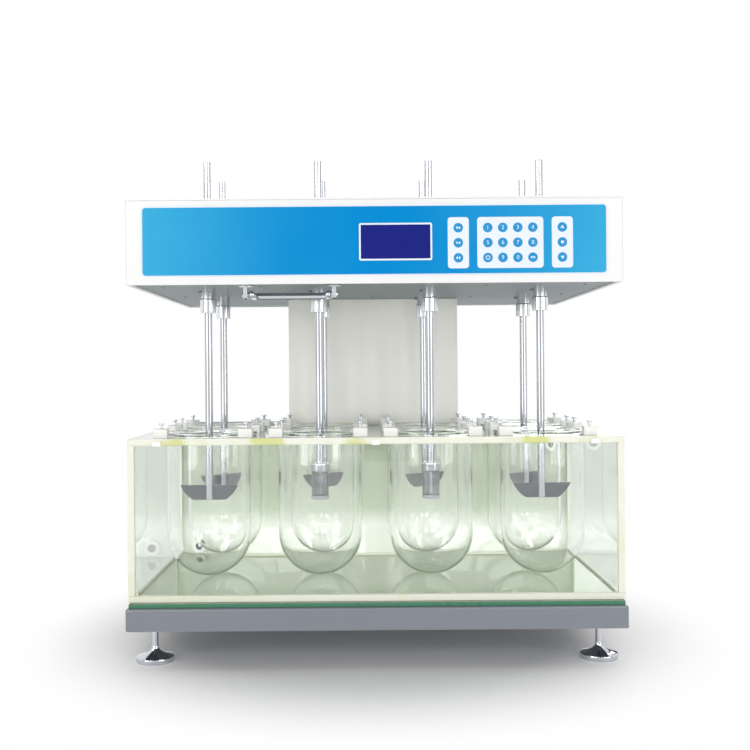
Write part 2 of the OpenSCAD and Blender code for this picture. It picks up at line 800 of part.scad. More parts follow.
// Spindle tube with its pulley above the deck and the chuck below it
module spindle() {
    collar_h = 17;
    neck_r = chuck_r - 1.2;
    chuck_z = head_z - chuck_drop;
    color([0.78, 0.79, 0.8]) difference() {
        union() {
            pulley_profile();
            translate([0, 0, deck_z]) cylinder(r = tube_r, h = spindle_top - deck_z);
            rotate_extrude() polygon([
                [0, chuck_z], [chuck_r - 0.8, chuck_z], [chuck_r, chuck_z + 0.8],
                [chuck_r, chuck_z + collar_h], [neck_r, chuck_z + collar_h + 1.2],
                [neck_r, deck_z], [0, deck_z]
            ]);
        }
        translate([0, 0, chuck_z - cut]) cylinder(r = shaft_r + run_gap, h = spindle_top - chuck_z + 2 * cut);
    }
}

// Blade outline: a circle through both ends of the top edge and the bottom edge
module blade() {
    rise = (pow(blade_top / 2, 2) - pow(blade_bottom / 2, 2) - blade_h * blade_h) / (2 * blade_h);
    arc_r = sqrt(pow(blade_top / 2, 2) + rise * rise);
    translate([0, 0, stir_z]) rotate([90, 0, 0]) linear_extrude(blade_t, center = true) intersection() {
        translate([0, blade_h + rise]) circle(arc_r, $fn = 128);
        translate([-blade_top / 2, 0]) square([blade_top, blade_h]);
    }
}

module stirrer(n) {
    hub_h = 8;
    hub_z = stir_z + basket_h - hub_h;
    low_z = is_basket(n) ? hub_z : stir_z;
    turn = n > COLUMNS ? rear_turn : 0;
    at_station(n) rotate([0, 0, turn]) {
        spindle();
        color([0.72, 0.73, 0.75]) {
            translate([0, 0, low_z]) cylinder(r = shaft_r, h = shaft_top - low_z);
            if (is_basket(n)) {
                translate([0, 0, hub_z]) cylinder(r = basket_r - 1.2, h = hub_h);
                translate([0, 0, hub_z + hub_h + run_gap]) cylinder(r = basket_r + 1.4, h = 3);
            }
            else blade();
        }
    }
}

module basket(n) {
    screen_t = 0.8;
    ring_h = 8;
    foot_ring = 4;
    color([0.7, 0.71, 0.73]) at_station(n) translate([0, 0, stir_z]) difference() {
        union() {
            cylinder(r = basket_r, h = basket_h);
            translate([0, 0, basket_h - ring_h]) cylinder(r = basket_r + 1.4, h = ring_h);
            translate([0, 0, 1]) cylinder(r = basket_r + 0.4, h = foot_ring);
        }
        translate([0, 0, screen_t]) cylinder(r = basket_r - screen_t, h = basket_h);
        translate([0, 0, basket_h - ring_h]) cylinder(r = basket_r - 1.2 + run_gap * 2, h = ring_h + cut);
    }
}

base_tray();
glass_sheet();
water_tank();
vessel_plate();
vessel_row(1);  // vessels_front
vessel_row(COLUMNS + 1);  // vessels_rear
vessel_clamps();
tank_ports();
rear_chassis();
circulation_heater();
lift_mast();
gas_spring_cylinder();
mains_inlet();
power_switch();
for (i = [0:len(FEET) - 1]) levelling_foot(i);
head_cover();
head_base_plate();
front_panel();
display_window();
column_cover();
lift_rods();
handle_brackets();
lift_handle();
drive_motor();
motor_pulley();
drive_belt();
control_board();
bearing_housings();
shaft_seals();
for (n = [1:STATIONS]) stirrer(n);
for (n = BASKET_STATIONS) basket(n);
for (i = [0:len(KEYS) - 1]) key(i);
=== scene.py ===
"""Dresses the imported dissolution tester: glass, acrylic, enamel, printed panel, chrome and the studio."""

import math
from functools import cache

import bmesh
import bpy
from bpy.props import FloatProperty, FloatVectorProperty, IntProperty, PointerProperty
from bpy.types import Operator, Panel, PropertyGroup
from mathutils import Matrix, Vector


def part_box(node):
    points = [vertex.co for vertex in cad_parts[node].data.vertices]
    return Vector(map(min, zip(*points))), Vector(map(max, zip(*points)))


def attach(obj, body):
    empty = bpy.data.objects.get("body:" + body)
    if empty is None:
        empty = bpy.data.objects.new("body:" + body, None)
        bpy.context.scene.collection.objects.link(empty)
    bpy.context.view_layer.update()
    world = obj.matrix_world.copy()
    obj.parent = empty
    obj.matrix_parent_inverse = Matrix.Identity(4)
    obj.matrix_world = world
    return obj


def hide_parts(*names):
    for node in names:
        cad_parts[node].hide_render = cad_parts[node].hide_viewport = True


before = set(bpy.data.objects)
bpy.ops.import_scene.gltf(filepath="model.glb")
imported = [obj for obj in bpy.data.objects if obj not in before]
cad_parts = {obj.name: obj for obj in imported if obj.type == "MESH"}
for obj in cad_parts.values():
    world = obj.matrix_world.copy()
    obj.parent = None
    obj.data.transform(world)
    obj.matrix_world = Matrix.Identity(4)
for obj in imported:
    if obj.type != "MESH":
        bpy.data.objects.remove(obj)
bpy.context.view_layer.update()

bl_info = {
    "name": "Dissolution tester",
    "version": (1, 0, 0),
    "blender": (4, 5, 0),
    "location": "View3D > Sidebar > Tester",
    "description": "Builds the visible pieces of an eight-station dissolution tester",
    "category": "Object",
}

MM = 0.001
STATIONS = range(1, 9)
BASKETS = (2, 3)
DOTS_A_METRE = 1500.0
FEET = ("foot_front_left", "foot_front_right", "foot_rear_left", "foot_rear_right")
FIELDS = {
    "left": [f"key_left_{i}" for i in range(1, 4)],
    "pad": [f"key_pad_{i}" for i in range(1, 13)],
    "right": [f"key_right_{i}" for i in range(1, 4)],
}
KEYS = FIELDS["left"] + FIELDS["pad"] + FIELDS["right"]


def tone(red, green, blue):
    """Screen colour, 0 to 255, as the linear colour that a shader takes."""
    def linear(v):
        v /= 255
        return v / 12.92 if v <= 0.04045 else ((v + 0.055) / 1.055) ** 2.4
    return linear(red), linear(green), linear(blue)


def colour(label, use, rgb):
    return FloatVectorProperty(
        name=label, description=use, subtype="COLOR", size=3, min=0.0, max=1.0, default=tone(*rgb)
    )


def length(label, use, value):
    return FloatProperty(
        name=label, description=use, default=value, min=0.0, subtype="DISTANCE", unit="LENGTH"
    )


class TesterColours(PropertyGroup):
    """Paints, prints and tints, with one painted shade and one painted glow among them."""

    head: colour("Head", "White enamel of the head", (238, 238, 237))
    cabinet: colour("Cabinet", "Cream enamel of the column and the rear cabinet", (249, 248, 241))
    tray: colour("Tray", "Blue-grey enamel of the base tray", (126, 131, 140))
    tray_top: colour("Tray top", "Pale top of the tray under the glass sheet", (206, 220, 200))
    deck: colour("Deck", "Grey of the head's underside and the rear deck", (156, 166, 170))
    panel: colour("Panel", "Blue of the printed panel at its middle", (2, 136, 204))
    panel_end: colour("Panel ends", "Paler blue towards the panel's ends", (58, 170, 216))
    field: colour("Key fields", "White print behind the keys", (228, 236, 248))
    display: colour("Display", "Dark blue of the display", (28, 34, 122))
    key: colour("Keys", "Blue of the key caps", (38, 146, 204))
    block: colour("Blocks", "White of the centring blocks", (252, 252, 247))
    sawn: colour("Acrylic edges", "Cream of the sawn and bonded acrylic edges", (237, 238, 223))
    # Painted light: yellow-green glow painted on the acrylic's edges.
    edge_glow: colour("Edge stain", "Yellow-green of light caught in the edges", (214, 217, 150))
    bath_floor: colour("Bath floor", "Pale green under the bath's floor", (214, 230, 194))
    # Painted shade: pale green shade painted high on the cabinet's face behind the bath.
    shade_behind_bath: colour("Backing", "Pale green high on the cabinet behind the bath", (192, 201, 178))
    sheet_rim: colour("Sheet rim", "Deep green of the glass sheet's ground edge", (66, 128, 98))
    legend: colour("Legends", "Pale print on the keys", (214, 236, 250))
    blade: colour("Blades", "Dark grey of the paddle blades", (64, 68, 76))


class TesterSizes(PropertyGroup):
    """Edge radii, counts and thin trim."""

    sheet_edge: length("Sheet edge", "Radius of folded sheet edges", 1.2 * MM)
    tray_edge: length("Tray edge", "Radius of the tray's top edge", 3.0 * MM)
    clear_edge: length("Acrylic edge", "Broken edge of the acrylic sheets", 0.6 * MM)
    print_t: length("Print", "Thickness of the printed fields", 0.12 * MM)
    wire: length("Basket wire", "Thickness of the basket's wire", 1.0 * MM)
    joint_gap: length("Joint gap", "Half of the gap that stays between bonded clear sheets", 0.04 * MM)
    segments: IntProperty(name="Segments", description="Sides of round pieces", default=72, min=12, max=256)


def colours():
    return bpy.context.scene.tester_colours


def sizes():
    return bpy.context.scene.tester_sizes


# Shader groups and materials


def shader_group(name, inputs, outputs):
    """A new shader node group with its sockets, and its two end nodes."""
    group = bpy.data.node_groups.new(name, "ShaderNodeTree")
    for label, kind, value in inputs:
        socket = group.interface.new_socket(label, in_out="INPUT", socket_type=kind)
        if value is not None:
            socket.default_value = value
    for label, kind in outputs:
        group.interface.new_socket(label, in_out="OUTPUT", socket_type=kind)
    return group, group.nodes.new("NodeGroupInput"), group.nodes.new("NodeGroupOutput")


def feed(tree, socket, value):
    """Links a socket to another one, or sets its own number or colour."""
    if isinstance(value, bpy.types.NodeSocket):
        tree.links.new(value, socket)
    elif isinstance(value, (int, float)):
        socket.default_value = value
    else:
        socket.default_value = (*value[:3], 1.0)


def maths(tree, operation, first, second=None, clamp=False):
    node = tree.nodes.new("ShaderNodeMath")
    node.operation = operation
    node.use_clamp = clamp
    for socket, value in zip(node.inputs, (first, second)):
        if value is not None:
            feed(tree, socket, value)
    return node.outputs[0]


def mix_colour(tree, factor, first, second, blend="MIX"):
    node = tree.nodes.new("ShaderNodeMix")
    node.data_type = "RGBA"
    node.blend_type = blend
    for socket, value in zip((node.inputs[0], node.inputs[6], node.inputs[7]), (factor, first, second)):
        feed(tree, socket, value)
    return node.outputs[2]


def ramp(tree, value, start, end):
    """Smooth rise from 0 at one value to 1 at another."""
    node = tree.nodes.new("ShaderNodeMapRange")
    node.interpolation_type = "SMOOTHSTEP"
    node.inputs["From Min"].default_value = start
    node.inputs["From Max"].default_value = end
    tree.links.new(value, node.inputs["Value"])
    return node.outputs[0]


def noise(tree, vector, scale, detail=3.0):
    node = tree.nodes.new("ShaderNodeTexNoise")
    node.inputs["Detail"].default_value = detail
    tree.links.new(vector, node.inputs["Vector"])
    feed(tree, node.inputs["Scale"], scale)
    return node.outputs["Fac"]


def swing(tree, value, amount):
    """How far a value is from one half, times an amount."""
    return maths(tree, "MULTIPLY", maths(tree, "SUBTRACT", value, 0.5), amount)


@cache
def surface_drift():
    """Slow change of tone and gloss over a painted or moulded surface."""
    group, start, end = shader_group(
        "surface_drift",
        [
            ("Vector", "NodeSocketVector", None),
            ("Color", "NodeSocketColor", (0.8, 0.8, 0.8, 1.0)),
            ("Amount", "NodeSocketFloat", 0.04),
            ("Scale", "NodeSocketFloat", 9.0),
            ("Roughness", "NodeSocketFloat", 0.4),
        ],
        [("Color", "NodeSocketColor"), ("Roughness", "NodeSocketFloat")],
    )
    ins = start.outputs
    slow = noise(group, ins["Vector"], ins["Scale"], 4.0)
    fine = noise(group, ins["Vector"], 160.0, 3.0)
    shade = maths(group, "ADD", swing(group, slow, ins["Amount"]), 1.0)
    grey = group.nodes.new("ShaderNodeCombineColor")
    for socket in grey.inputs:
        group.links.new(shade, socket)
    group.links.new(mix_colour(group, 1.0, ins["Color"], grey.outputs[0], "MULTIPLY"), end.inputs["Color"])
    gloss = maths(group, "ADD", swing(group, fine, 0.16), swing(group, slow, 0.14))
    rough = maths(group, "ADD", ins["Roughness"], gloss, clamp=True)
    group.links.new(rough, end.inputs["Roughness"])
    return group


@cache
def skin_grain():
    """Orange peel of sprayed enamel and the skin of moulded plastic, as a height."""
    group, start, end = shader_group(
        "skin_grain",
        [("Vector", "NodeSocketVector", None), ("Scale", "NodeSocketFloat", 700.0)],
        [("Height", "NodeSocketFloat")],
    )
    broad = noise(group, start.outputs["Vector"], start.outputs["Scale"], 2.0)
    fine_scale = maths(group, "MULTIPLY", start.outputs["Scale"], 3.1)
    fine = noise(group, start.outputs["Vector"], fine_scale, 2.0)
    group.links.new(maths(group, "ADD", broad, maths(group, "MULTIPLY", fine, 0.4)), end.inputs["Height"])
    return group


@cache
def turned_lines():
    """Rings that turning and grinding leave round an upright axis, as a height and a gloss."""
    group, start, end = shader_group(
        "turned_lines",
        [
            ("Vector", "NodeSocketVector", None),
            ("Scale", "NodeSocketFloat", 2600.0),
            ("Roughness", "NodeSocketFloat", 0.25),
        ],
        [("Height", "NodeSocketFloat"), ("Roughness", "NodeSocketFloat")],
    )
    squash = group.nodes.new("ShaderNodeVectorMath")
    squash.operation = "MULTIPLY"
    squash.inputs[1].default_value = (0.02, 0.02, 1.0)
    group.links.new(start.outputs["Vector"], squash.inputs[0])
    rings = noise(group, squash.outputs[0], start.outputs["Scale"], 2.0)
    cloud = noise(group, start.outputs["Vector"], 60.0, 3.0)
    group.links.new(rings, end.inputs["Height"])
    gloss = maths(group, "ADD", swing(group, rings, 0.08), swing(group, cloud, 0.1))
    rough = maths(group, "ADD", start.outputs["Roughness"], gloss, clamp=True)
    group.links.new(rough, end.inputs["Roughness"])
    return group


def new_material(name):
    made = bpy.data.materials.new(name)
    made.use_nodes = True
    tree = made.node_tree
    return made, tree, tree.nodes["Principled BSDF"]


def place(tree):
    return tree.nodes.new("ShaderNodeTexCoord").outputs["Object"]


def add_group(tree, group, vector, **values):
    node = tree.nodes.new("ShaderNodeGroup")
    node.node_tree = group
    tree.links.new(vector, node.inputs["Vector"])
    for label, value in values.items():
        feed(tree, node.inputs[label], value)
    return node


def bump(tree, shader, height, strength, distance):
    node = tree.nodes.new("ShaderNodeBump")
    node.inputs["Strength"].default_value = strength
    node.inputs["Distance"].default_value = distance
    tree.links.new(height, node.inputs["Height"])
    tree.links.new(node.outputs["Normal"], shader.inputs["Normal"])


def either(tree, factor, first, second):
    """Makes the surface one shader or the other, by a factor."""
    node = tree.nodes.new("ShaderNodeMixShader")
    for socket, value in zip(node.inputs, (factor, first.outputs[0], second.outputs[0])):
        tree.links.new(value, socket)
    tree.links.new(node.outputs[0], tree.nodes["Material Output"].inputs["Surface"])


def coated(
    name, rgb, rough, drift, depth, drift_scale=9.0, grain=700.0, coat=0.0, gloss=0.5, base=None
):
    """Enamel, plastic or rubber: slow drift of tone, uneven gloss and a fine skin."""
    made, tree, shader = new_material(name)
    vector = place(tree)
    source = base(tree, vector) if base else rgb
    drifted = add_group(
        tree, surface_drift(), vector, Color=source, Amount=drift, Scale=drift_scale, Roughness=rough
    )
    tree.links.new(drifted.outputs["Color"], shader.inputs["Base Color"])
    tree.links.new(drifted.outputs["Roughness"], shader.inputs["Roughness"])
    shader.inputs["Specular IOR Level"].default_value = gloss
    shader.inputs["Coat Weight"].default_value = coat
    shader.inputs["Coat Roughness"].default_value = 0.08
    skin = add_group(tree, skin_grain(), vector, Scale=grain)
    bump(tree, shader, skin.outputs["Height"], depth, 0.0006)
    return made


def turned(name, rgb, rough, lines, depth):
    """Turned or ground metal with rings round its upright axis."""
    made, tree, shader = new_material(name)
    vector = place(tree)
    rings = add_group(tree, turned_lines(), vector, Scale=lines, Roughness=rough)
    drifted = add_group(tree, surface_drift(), vector, Color=rgb, Amount=0.1, Scale=30.0, Roughness=rough)
    tree.links.new(drifted.outputs["Color"], shader.inputs["Base Color"])
    tree.links.new(rings.outputs["Roughness"], shader.inputs["Roughness"])
    shader.inputs["Metallic"].default_value = 1.0
    bump(tree, shader, rings.outputs["Height"], depth, 0.00008)
    return made


def clear(name, tint, ior, density):
    """Glass or acrylic that takes its tint from the length of the light's way inside it."""
    made, tree, shader = new_material(name)
    vector = place(tree)
    shader.inputs["Base Color"].default_value = (1.0, 1.0, 1.0, 1.0)
    shader.inputs["Transmission Weight"].default_value = 1.0
    shader.inputs["IOR"].default_value = ior
    smear = maths(tree, "MULTIPLY", noise(tree, vector, 34.0, 4.0), 0.02)
    tree.links.new(smear, shader.inputs["Roughness"])
    path = tree.nodes.new("ShaderNodeLightPath")
    pass_by = tree.nodes.new("ShaderNodeBsdfTransparent")
    either(tree, path.outputs["Is Shadow Ray"], shader, pass_by)
    absorb = tree.nodes.new("ShaderNodeVolumeAbsorption")
    absorb.inputs["Color"].default_value = (*tint, 1.0)
    absorb.inputs["Density"].default_value = density
    tree.links.new(absorb.outputs[0], tree.nodes["Material Output"].inputs["Volume"])
    return made


def parts_of(tree, vector):
    """The three coordinates of a place."""
    node = tree.nodes.new("ShaderNodeSeparateXYZ")
    tree.links.new(vector, node.inputs[0])
    return node.outputs


def cabinet_with_shade(tree, vector):
    """Cream enamel, with painted shade in pale green high on the face that stands behind the bath."""
    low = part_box("rear_chassis")[0]
    _, y, z = parts_of(tree, vector)
    front = maths(tree, "LESS_THAN", y, low.y + 0.4 * MM)
    rise = ramp(tree, z, low.z + 52 * MM, low.z + 88 * MM)
    # Painted shade: the green is painted only on the front face, rising towards its top.
    green = maths(tree, "MULTIPLY", front, rise)
    return mix_colour(tree, green, colours().cabinet, colours().shade_behind_bath)


def tray_base(tree, vector):
    """Blue-grey all over, but pale on top behind the front lip."""
    low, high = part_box("base_tray")
    _, y, z = parts_of(tree, vector)
    on_top = maths(tree, "GREATER_THAN", z, high.z - 0.2 * MM)
    behind = maths(tree, "GREATER_THAN", y, low.y + 9 * MM)
    pale = maths(tree, "MULTIPLY", on_top, behind)
    return mix_colour(tree, pale, colours().tray, colours().tray_top)


def panel_base(tree, vector):
    """Deeper blue in the middle, paler towards both ends, with a slow cloud over it."""
    x, _, _ = parts_of(tree, vector)
    reach = maths(tree, "DIVIDE", maths(tree, "ABSOLUTE", x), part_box("front_panel")[1].x)
    ends = maths(tree, "POWER", reach, 1.6)
    cloud = swing(tree, noise(tree, vector, 7.0, 2.0), 0.5)
    pale = maths(tree, "ADD", ends, cloud, clamp=True)
    return mix_colour(tree, pale, colours().panel, colours().panel_end)


def display_base(tree, vector):
    """Rows and columns of the display's dots, just lighter than the ground."""
    x, _, z = parts_of(tree, vector)
    across, up = (
        maths(tree, "GREATER_THAN", maths(tree, "FRACT", maths(tree, "MULTIPLY", way, DOTS_A_METRE)), 0.2)
        for way in (x, z)
    )
    dots = maths(tree, "MULTIPLY", maths(tree, "MULTIPLY", across, up), 0.35)
    return mix_colour(tree, dots, colours().display, tone(40, 52, 142))


def sawn_with_glow(tree, vector):
    """Cream, with painted light: patches of yellow-green glow for the light that the edge gathers from
    inside the sheet, fuller towards the plate.
    """
    _, _, z = parts_of(tree, vector)
    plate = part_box("vessel_plate")[0].z
    upper = maths(tree, "ADD", ramp(tree, z, plate - 40 * MM, plate), 0.2, clamp=True)
    patch = ramp(tree, noise(tree, vector, 15.0, 2.0), 0.53, 0.62)
    # Painted light: the yellow-green glow is painted in patches, fuller towards the plate.
    painted_glow = maths(tree, "MULTIPLY", patch, upper)
    return mix_colour(tree, painted_glow, colours().sawn, colours().edge_glow)


# Each finish: how it is made, its colour (one of TesterColours or a screen colour) and its values
FINISHES = {
    "head_enamel": (coated, "head", dict(rough=0.34, drift=0.02, depth=0.03, coat=0.15)),
    "cabinet_enamel": (
        coated, "cabinet", dict(rough=0.38, drift=0.03, depth=0.03, coat=0.1, base=cabinet_with_shade)
    ),
    "tray_enamel": (coated, "tray", dict(rough=0.36, drift=0.05, depth=0.05, coat=0.2, base=tray_base)),
    "deck_enamel": (coated, "deck", dict(rough=0.5, drift=0.05, depth=0.04, gloss=0.3)),
    "printed_film": (
        coated, "panel", dict(rough=0.38, drift=0.03, grain=1500.0, depth=0.03, gloss=0.06, base=panel_base)
    ),
    "printed_white": (coated, "field", dict(rough=0.38, drift=0.02, grain=1500.0, depth=0.02, gloss=0.25)),
    "display_glass": (
        coated, "display", dict(rough=0.25, drift=0.08, depth=0.0, gloss=0.05, base=display_base)
    ),
    "key_cap": (coated, "key", dict(rough=0.26, drift=0.12, drift_scale=160.0, depth=0.02, gloss=0.3)),
    "legend_print": (coated, "legend", dict(rough=0.4, drift=0.02, grain=1500.0, depth=0.01, gloss=0.2)),
    "block_nylon": (coated, "block", dict(rough=0.42, drift=0.04, drift_scale=40.0, depth=0.04)),
    "blade_coat": (
        coated, "blade", dict(rough=0.34, drift=0.14, drift_scale=45.0, grain=1600.0, depth=0.06, gloss=0.3)
    ),
    "sawn_acrylic": (
        coated, "sawn",
        dict(rough=0.34, drift=0.06, drift_scale=60.0, grain=1200.0, depth=0.05, base=sawn_with_glow),
    ),
    "bath_underlay": (coated, "bath_floor", dict(rough=0.5, drift=0.1, drift_scale=6.0, depth=0.02)),
    "ground_glass": (
        coated, "sheet_rim", dict(rough=0.3, drift=0.3, drift_scale=14.0, grain=1400.0, depth=0.04)
    ),
    "seal_rubber": (
        coated, (24, 24, 25), dict(rough=0.6, drift=0.2, drift_scale=60.0, grain=1800.0, depth=0.15)
    ),
    "black_moulding": (coated, (30, 31, 33), dict(rough=0.5, drift=0.12, drift_scale=50.0, depth=0.12)),
    "solder_mask": (coated, (20, 92, 52), dict(rough=0.35, drift=0.1, drift_scale=60.0, depth=0.05)),
    "chrome_plate": (turned, (206, 209, 214), dict(rough=0.09, lines=400.0, depth=0.006)),
    "ground_steel": (turned, (192, 195, 200), dict(rough=0.13, lines=1800.0, depth=0.006)),
    "turned_aluminium": (turned, (232, 234, 236), dict(rough=0.18, lines=1600.0, depth=0.012)),
    "drawn_wire": (turned, (188, 191, 196), dict(rough=0.1, lines=900.0, depth=0.01)),
    "screw_steel": (turned, (150, 153, 158), dict(rough=0.3, lines=1500.0, depth=0.05)),
    "cast_acrylic": (clear, (208, 224, 210), dict(ior=1.49, density=20.0)),
    "float_glass": (clear, (110, 190, 150), dict(ior=1.52, density=9.0)),
    "blown_glass": (clear, (212, 230, 228), dict(ior=1.47, density=2.5)),
}


def finish(name):
    """The material of that name, made at its first use."""
    made = bpy.data.materials.get(name)
    if made:
        return made
    maker, rgb, values = FINISHES[name]
    return maker(name, getattr(colours(), rgb) if isinstance(rgb, str) else tone(*rgb), **values)


# Mesh helpers


def loose_copy(node):
    """A CAD node's mesh with its doubles merged and its flat faces joined."""
    bm = bmesh.new()
    bm.from_mesh(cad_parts[node].data)
    bmesh.ops.remove_doubles(bm, verts=bm.verts, dist=0.002 * MM)
    bmesh.ops.dissolve_limit(bm, angle_limit=math.radians(0.6), verts=bm.verts, edges=bm.edges)
    return bm


def islands(bm):
    """The separate solids of a mesh, each as a list of its vertices."""
    left, found = set(bm.verts), []
    while left:
        seed = left.pop()
        group, front = [seed], [seed]
        while front:
            vert = front.pop()
            for edge in vert.link_edges:
                other = edge.other_vert(vert)
                if other in left:
                    left.discard(other)
                    group.append(other)
                    front.append(other)
        found.append(group)
    return found


def solids_of(node, wanted):
    """A CAD node's mesh without the separate solids that don't pass a test."""
    bm = loose_copy(node)
    drop = [v for group in islands(bm) if not wanted(group) for v in group]
    bmesh.ops.delete(bm, geom=drop, context="VERTS")
    return bm


def soften(bm, width, segments=2, angle=40.0, where=None):
    """Rounds the edges that turn by more than an angle."""
    limit = math.radians(angle)
    picked = [
        e for e in bm.edges
        if len(e.link_faces) == 2 and e.calc_face_angle(0.0) > limit and (where is None or where(e))
    ]
    bmesh.ops.bevel(
        bm, geom=picked, offset=width, offset_type="OFFSET", segments=segments, profile=0.5,
        affect="EDGES", clamp_overlap=True, material=-1,
    )
    return bm


def lathe(bm, profile, centre, closed=False, steps=None):
    """Spins a profile of (radius, height) points round an upright axis."""
    verts = [bm.verts.new((centre[0] + r, centre[1], z)) for r, z in profile]
    pairs = list(zip(verts, verts[1:] + verts[:1] if closed else verts[1:]))
    edges = [bm.edges.new(p) for p in pairs]
    bmesh.ops.spin(
        bm, geom=verts + edges, cent=(centre[0], centre[1], 0.0), axis=(0, 0, 1), angle=math.tau,
        steps=steps or sizes().segments, use_merge=True, use_duplicate=False,
    )
    bmesh.ops.remove_doubles(bm, verts=bm.verts, dist=0.002 * MM)
    bmesh.ops.recalc_face_normals(bm, faces=bm.faces)
    return bm


def box_at(bm, low, high):
    size = [b - a for a, b in zip(low, high)]
    middle = [(a + b) / 2 for a, b in zip(low, high)]
    spread = Matrix.Translation(middle) @ Matrix.Diagonal((*size, 1.0))
    return bmesh.ops.create_cube(bm, size=1.0, matrix=spread)["verts"]


def upright(x, y, z):
    """Stands flat work up to face the front, at a place."""
    return Matrix.Translation((x, y, z)) @ Matrix.Rotation(math.pi / 2, 4, "X")


def rectangle(bm, width, height, stand):
    """A flat rectangle about its own middle, put where a matrix says."""
    spread = stand @ Matrix.Diagonal((width, height, 1.0, 1.0))
    return bmesh.ops.create_grid(bm, x_segments=1, y_segments=1, size=0.5, matrix=spread)["verts"]


def outline(bm, low, high, y, radius):
    """The edges of an upright rounded rectangle in the plane y, from low (x, z) to high (x, z)."""
    stand = upright((low[0] + high[0]) / 2, y, (low[1] + high[1]) / 2)
    corners = rectangle(bm, high[0] - low[0], high[1] - low[1], stand)
    if radius > 0:
        bmesh.ops.bevel(
            bm, geom=corners, offset=radius, offset_type="OFFSET", segments=6, profile=0.5,
            affect="VERTICES", clamp_overlap=True, material=-1,
        )
    bmesh.ops.delete(bm, geom=list(bm.faces), context="FACES_ONLY")


def hole_edge(bm, x, y, z, radius):
    """The edge of a round hole in the plane y."""
    bmesh.ops.create_circle(bm, segments=40, radius=radius, matrix=upright(x, y, z))


def thicken(bm, way):
    """Draws the flat faces of a mesh out into a plate."""
    made = bmesh.ops.extrude_face_region(bm, geom=list(bm.faces))
    moved = [g for g in made["geom"] if isinstance(g, bmesh.types.BMVert)]
    bmesh.ops.translate(bm, verts=moved, vec=way)
    bmesh.ops.recalc_face_normals(bm, faces=bm.faces)
    return bm


def plate_from(bm, thickness):
    """Fills the outlines in a mesh, holes left open, and gives the plate its thickness towards -Y."""
    bmesh.ops.triangle_fill(bm, edges=bm.edges, use_beauty=True, use_dissolve=False)
    return thicken(bm, (0, -thickness, 0))


def piece(name, bm, finishes, body, nodes=(), smooth=35.0):
    """Makes the finished object: shading, materials, body, and hides the CAD nodes that it replaces."""
    mesh = bpy.data.meshes.new(name)
    bm.to_mesh(mesh)
    bm.free()
    mesh.shade_smooth()
    mesh.set_sharp_from_angle(angle=math.radians(smooth))
    for coat in [finishes] if isinstance(finishes, str) else finishes:
        mesh.materials.append(finish(coat))
    made = bpy.data.objects.new(name, mesh)
    bpy.context.scene.collection.objects.link(made)
    flatten = made.modifiers.new("flat_faces", "WEIGHTED_NORMAL")
    flatten.mode = "FACE_AREA"
    flatten.keep_sharp = True
    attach(made, body)
    if nodes:
        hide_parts(*nodes)
    return made


def paint_nodes(**finishes):
    """Gives CAD nodes that keep their meshes a better material."""
    for node, name in finishes.items():
        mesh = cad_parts[node].data
        mesh.materials.clear()
        mesh.materials.append(finish(name))


def axis_of(node):
    low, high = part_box(node)
    return (low.x + high.x) / 2, (low.y + high.y) / 2


def screw_heads(bm, places, radius, height):
    """Domed screw heads with a cross slot, each at (point, direction)."""
    for point, direction in places:
        turn = Matrix.Translation(point) @ Vector(direction).to_track_quat("Z", "Y").to_matrix().to_4x4()
        made = bmesh.ops.create_cone(
            bm, cap_ends=True, segments=24, radius1=radius, radius2=radius * 0.72, depth=height,
            matrix=turn @ Matrix.Translation((0, 0, height / 2)),
        )
        top = max({f for v in made["verts"] for f in v.link_faces},
                  key=lambda f: f.calc_center_median().dot(Vector(direction)))
        bmesh.ops.inset_region(bm, faces=[top], thickness=radius * 0.38)
        bmesh.ops.translate(bm, verts=top.verts, vec=Vector(direction) * -height * 0.45)
    return bm


def screw_set(name, places, radius, height, body):
    """A piece of screw heads, each at (point, direction)."""
    bm = screw_heads(bmesh.new(), places, radius, height)
    piece(name, bm, "screw_steel", body, [])


# Operators


class TESTER_OT_tray(Operator):
    """Base tray with a rounded top edge and four levelling feet"""

    bl_idname = "tester.tray"
    bl_label = "Tray and feet"

    def execute(self, context):
        bm = loose_copy("base_tray")
        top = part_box("base_tray")[1].z - 0.01 * MM

        def outer_top(edge):
            return all(v.co.z > top for v in edge.verts)

        soften(bm, sizes().tray_edge, 4, where=outer_top)
        piece("base_tray_shell", bm, "tray_enamel", "base", ["base_tray"], 50)
        for name in FEET:
            low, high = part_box(name)
            radius = (high.x - low.x) / 2
            stem = 4 * MM
            curve = [
                (stem + (radius - 2 * MM - stem) * (1 - k / 24) ** 5, low.z + (7.6 + 20 * k / 24) * MM)
                for k in range(25)
            ]
            profile = [
                (0, low.z), (radius - 1.5 * MM, low.z), (radius - 0.4 * MM, low.z + 0.4 * MM),
                (radius, low.z + 1.5 * MM), (radius, low.z + 5.6 * MM),
                (radius - 0.4 * MM, low.z + 6.6 * MM), (radius - 1.2 * MM, low.z + 7 * MM),
                *curve, (stem, high.z), (0, high.z),
            ]
            bm = lathe(bmesh.new(), profile, axis_of(name))
            piece(f"{name}_turned", bm, "chrome_plate", name, [name])
        return {"FINISHED"}


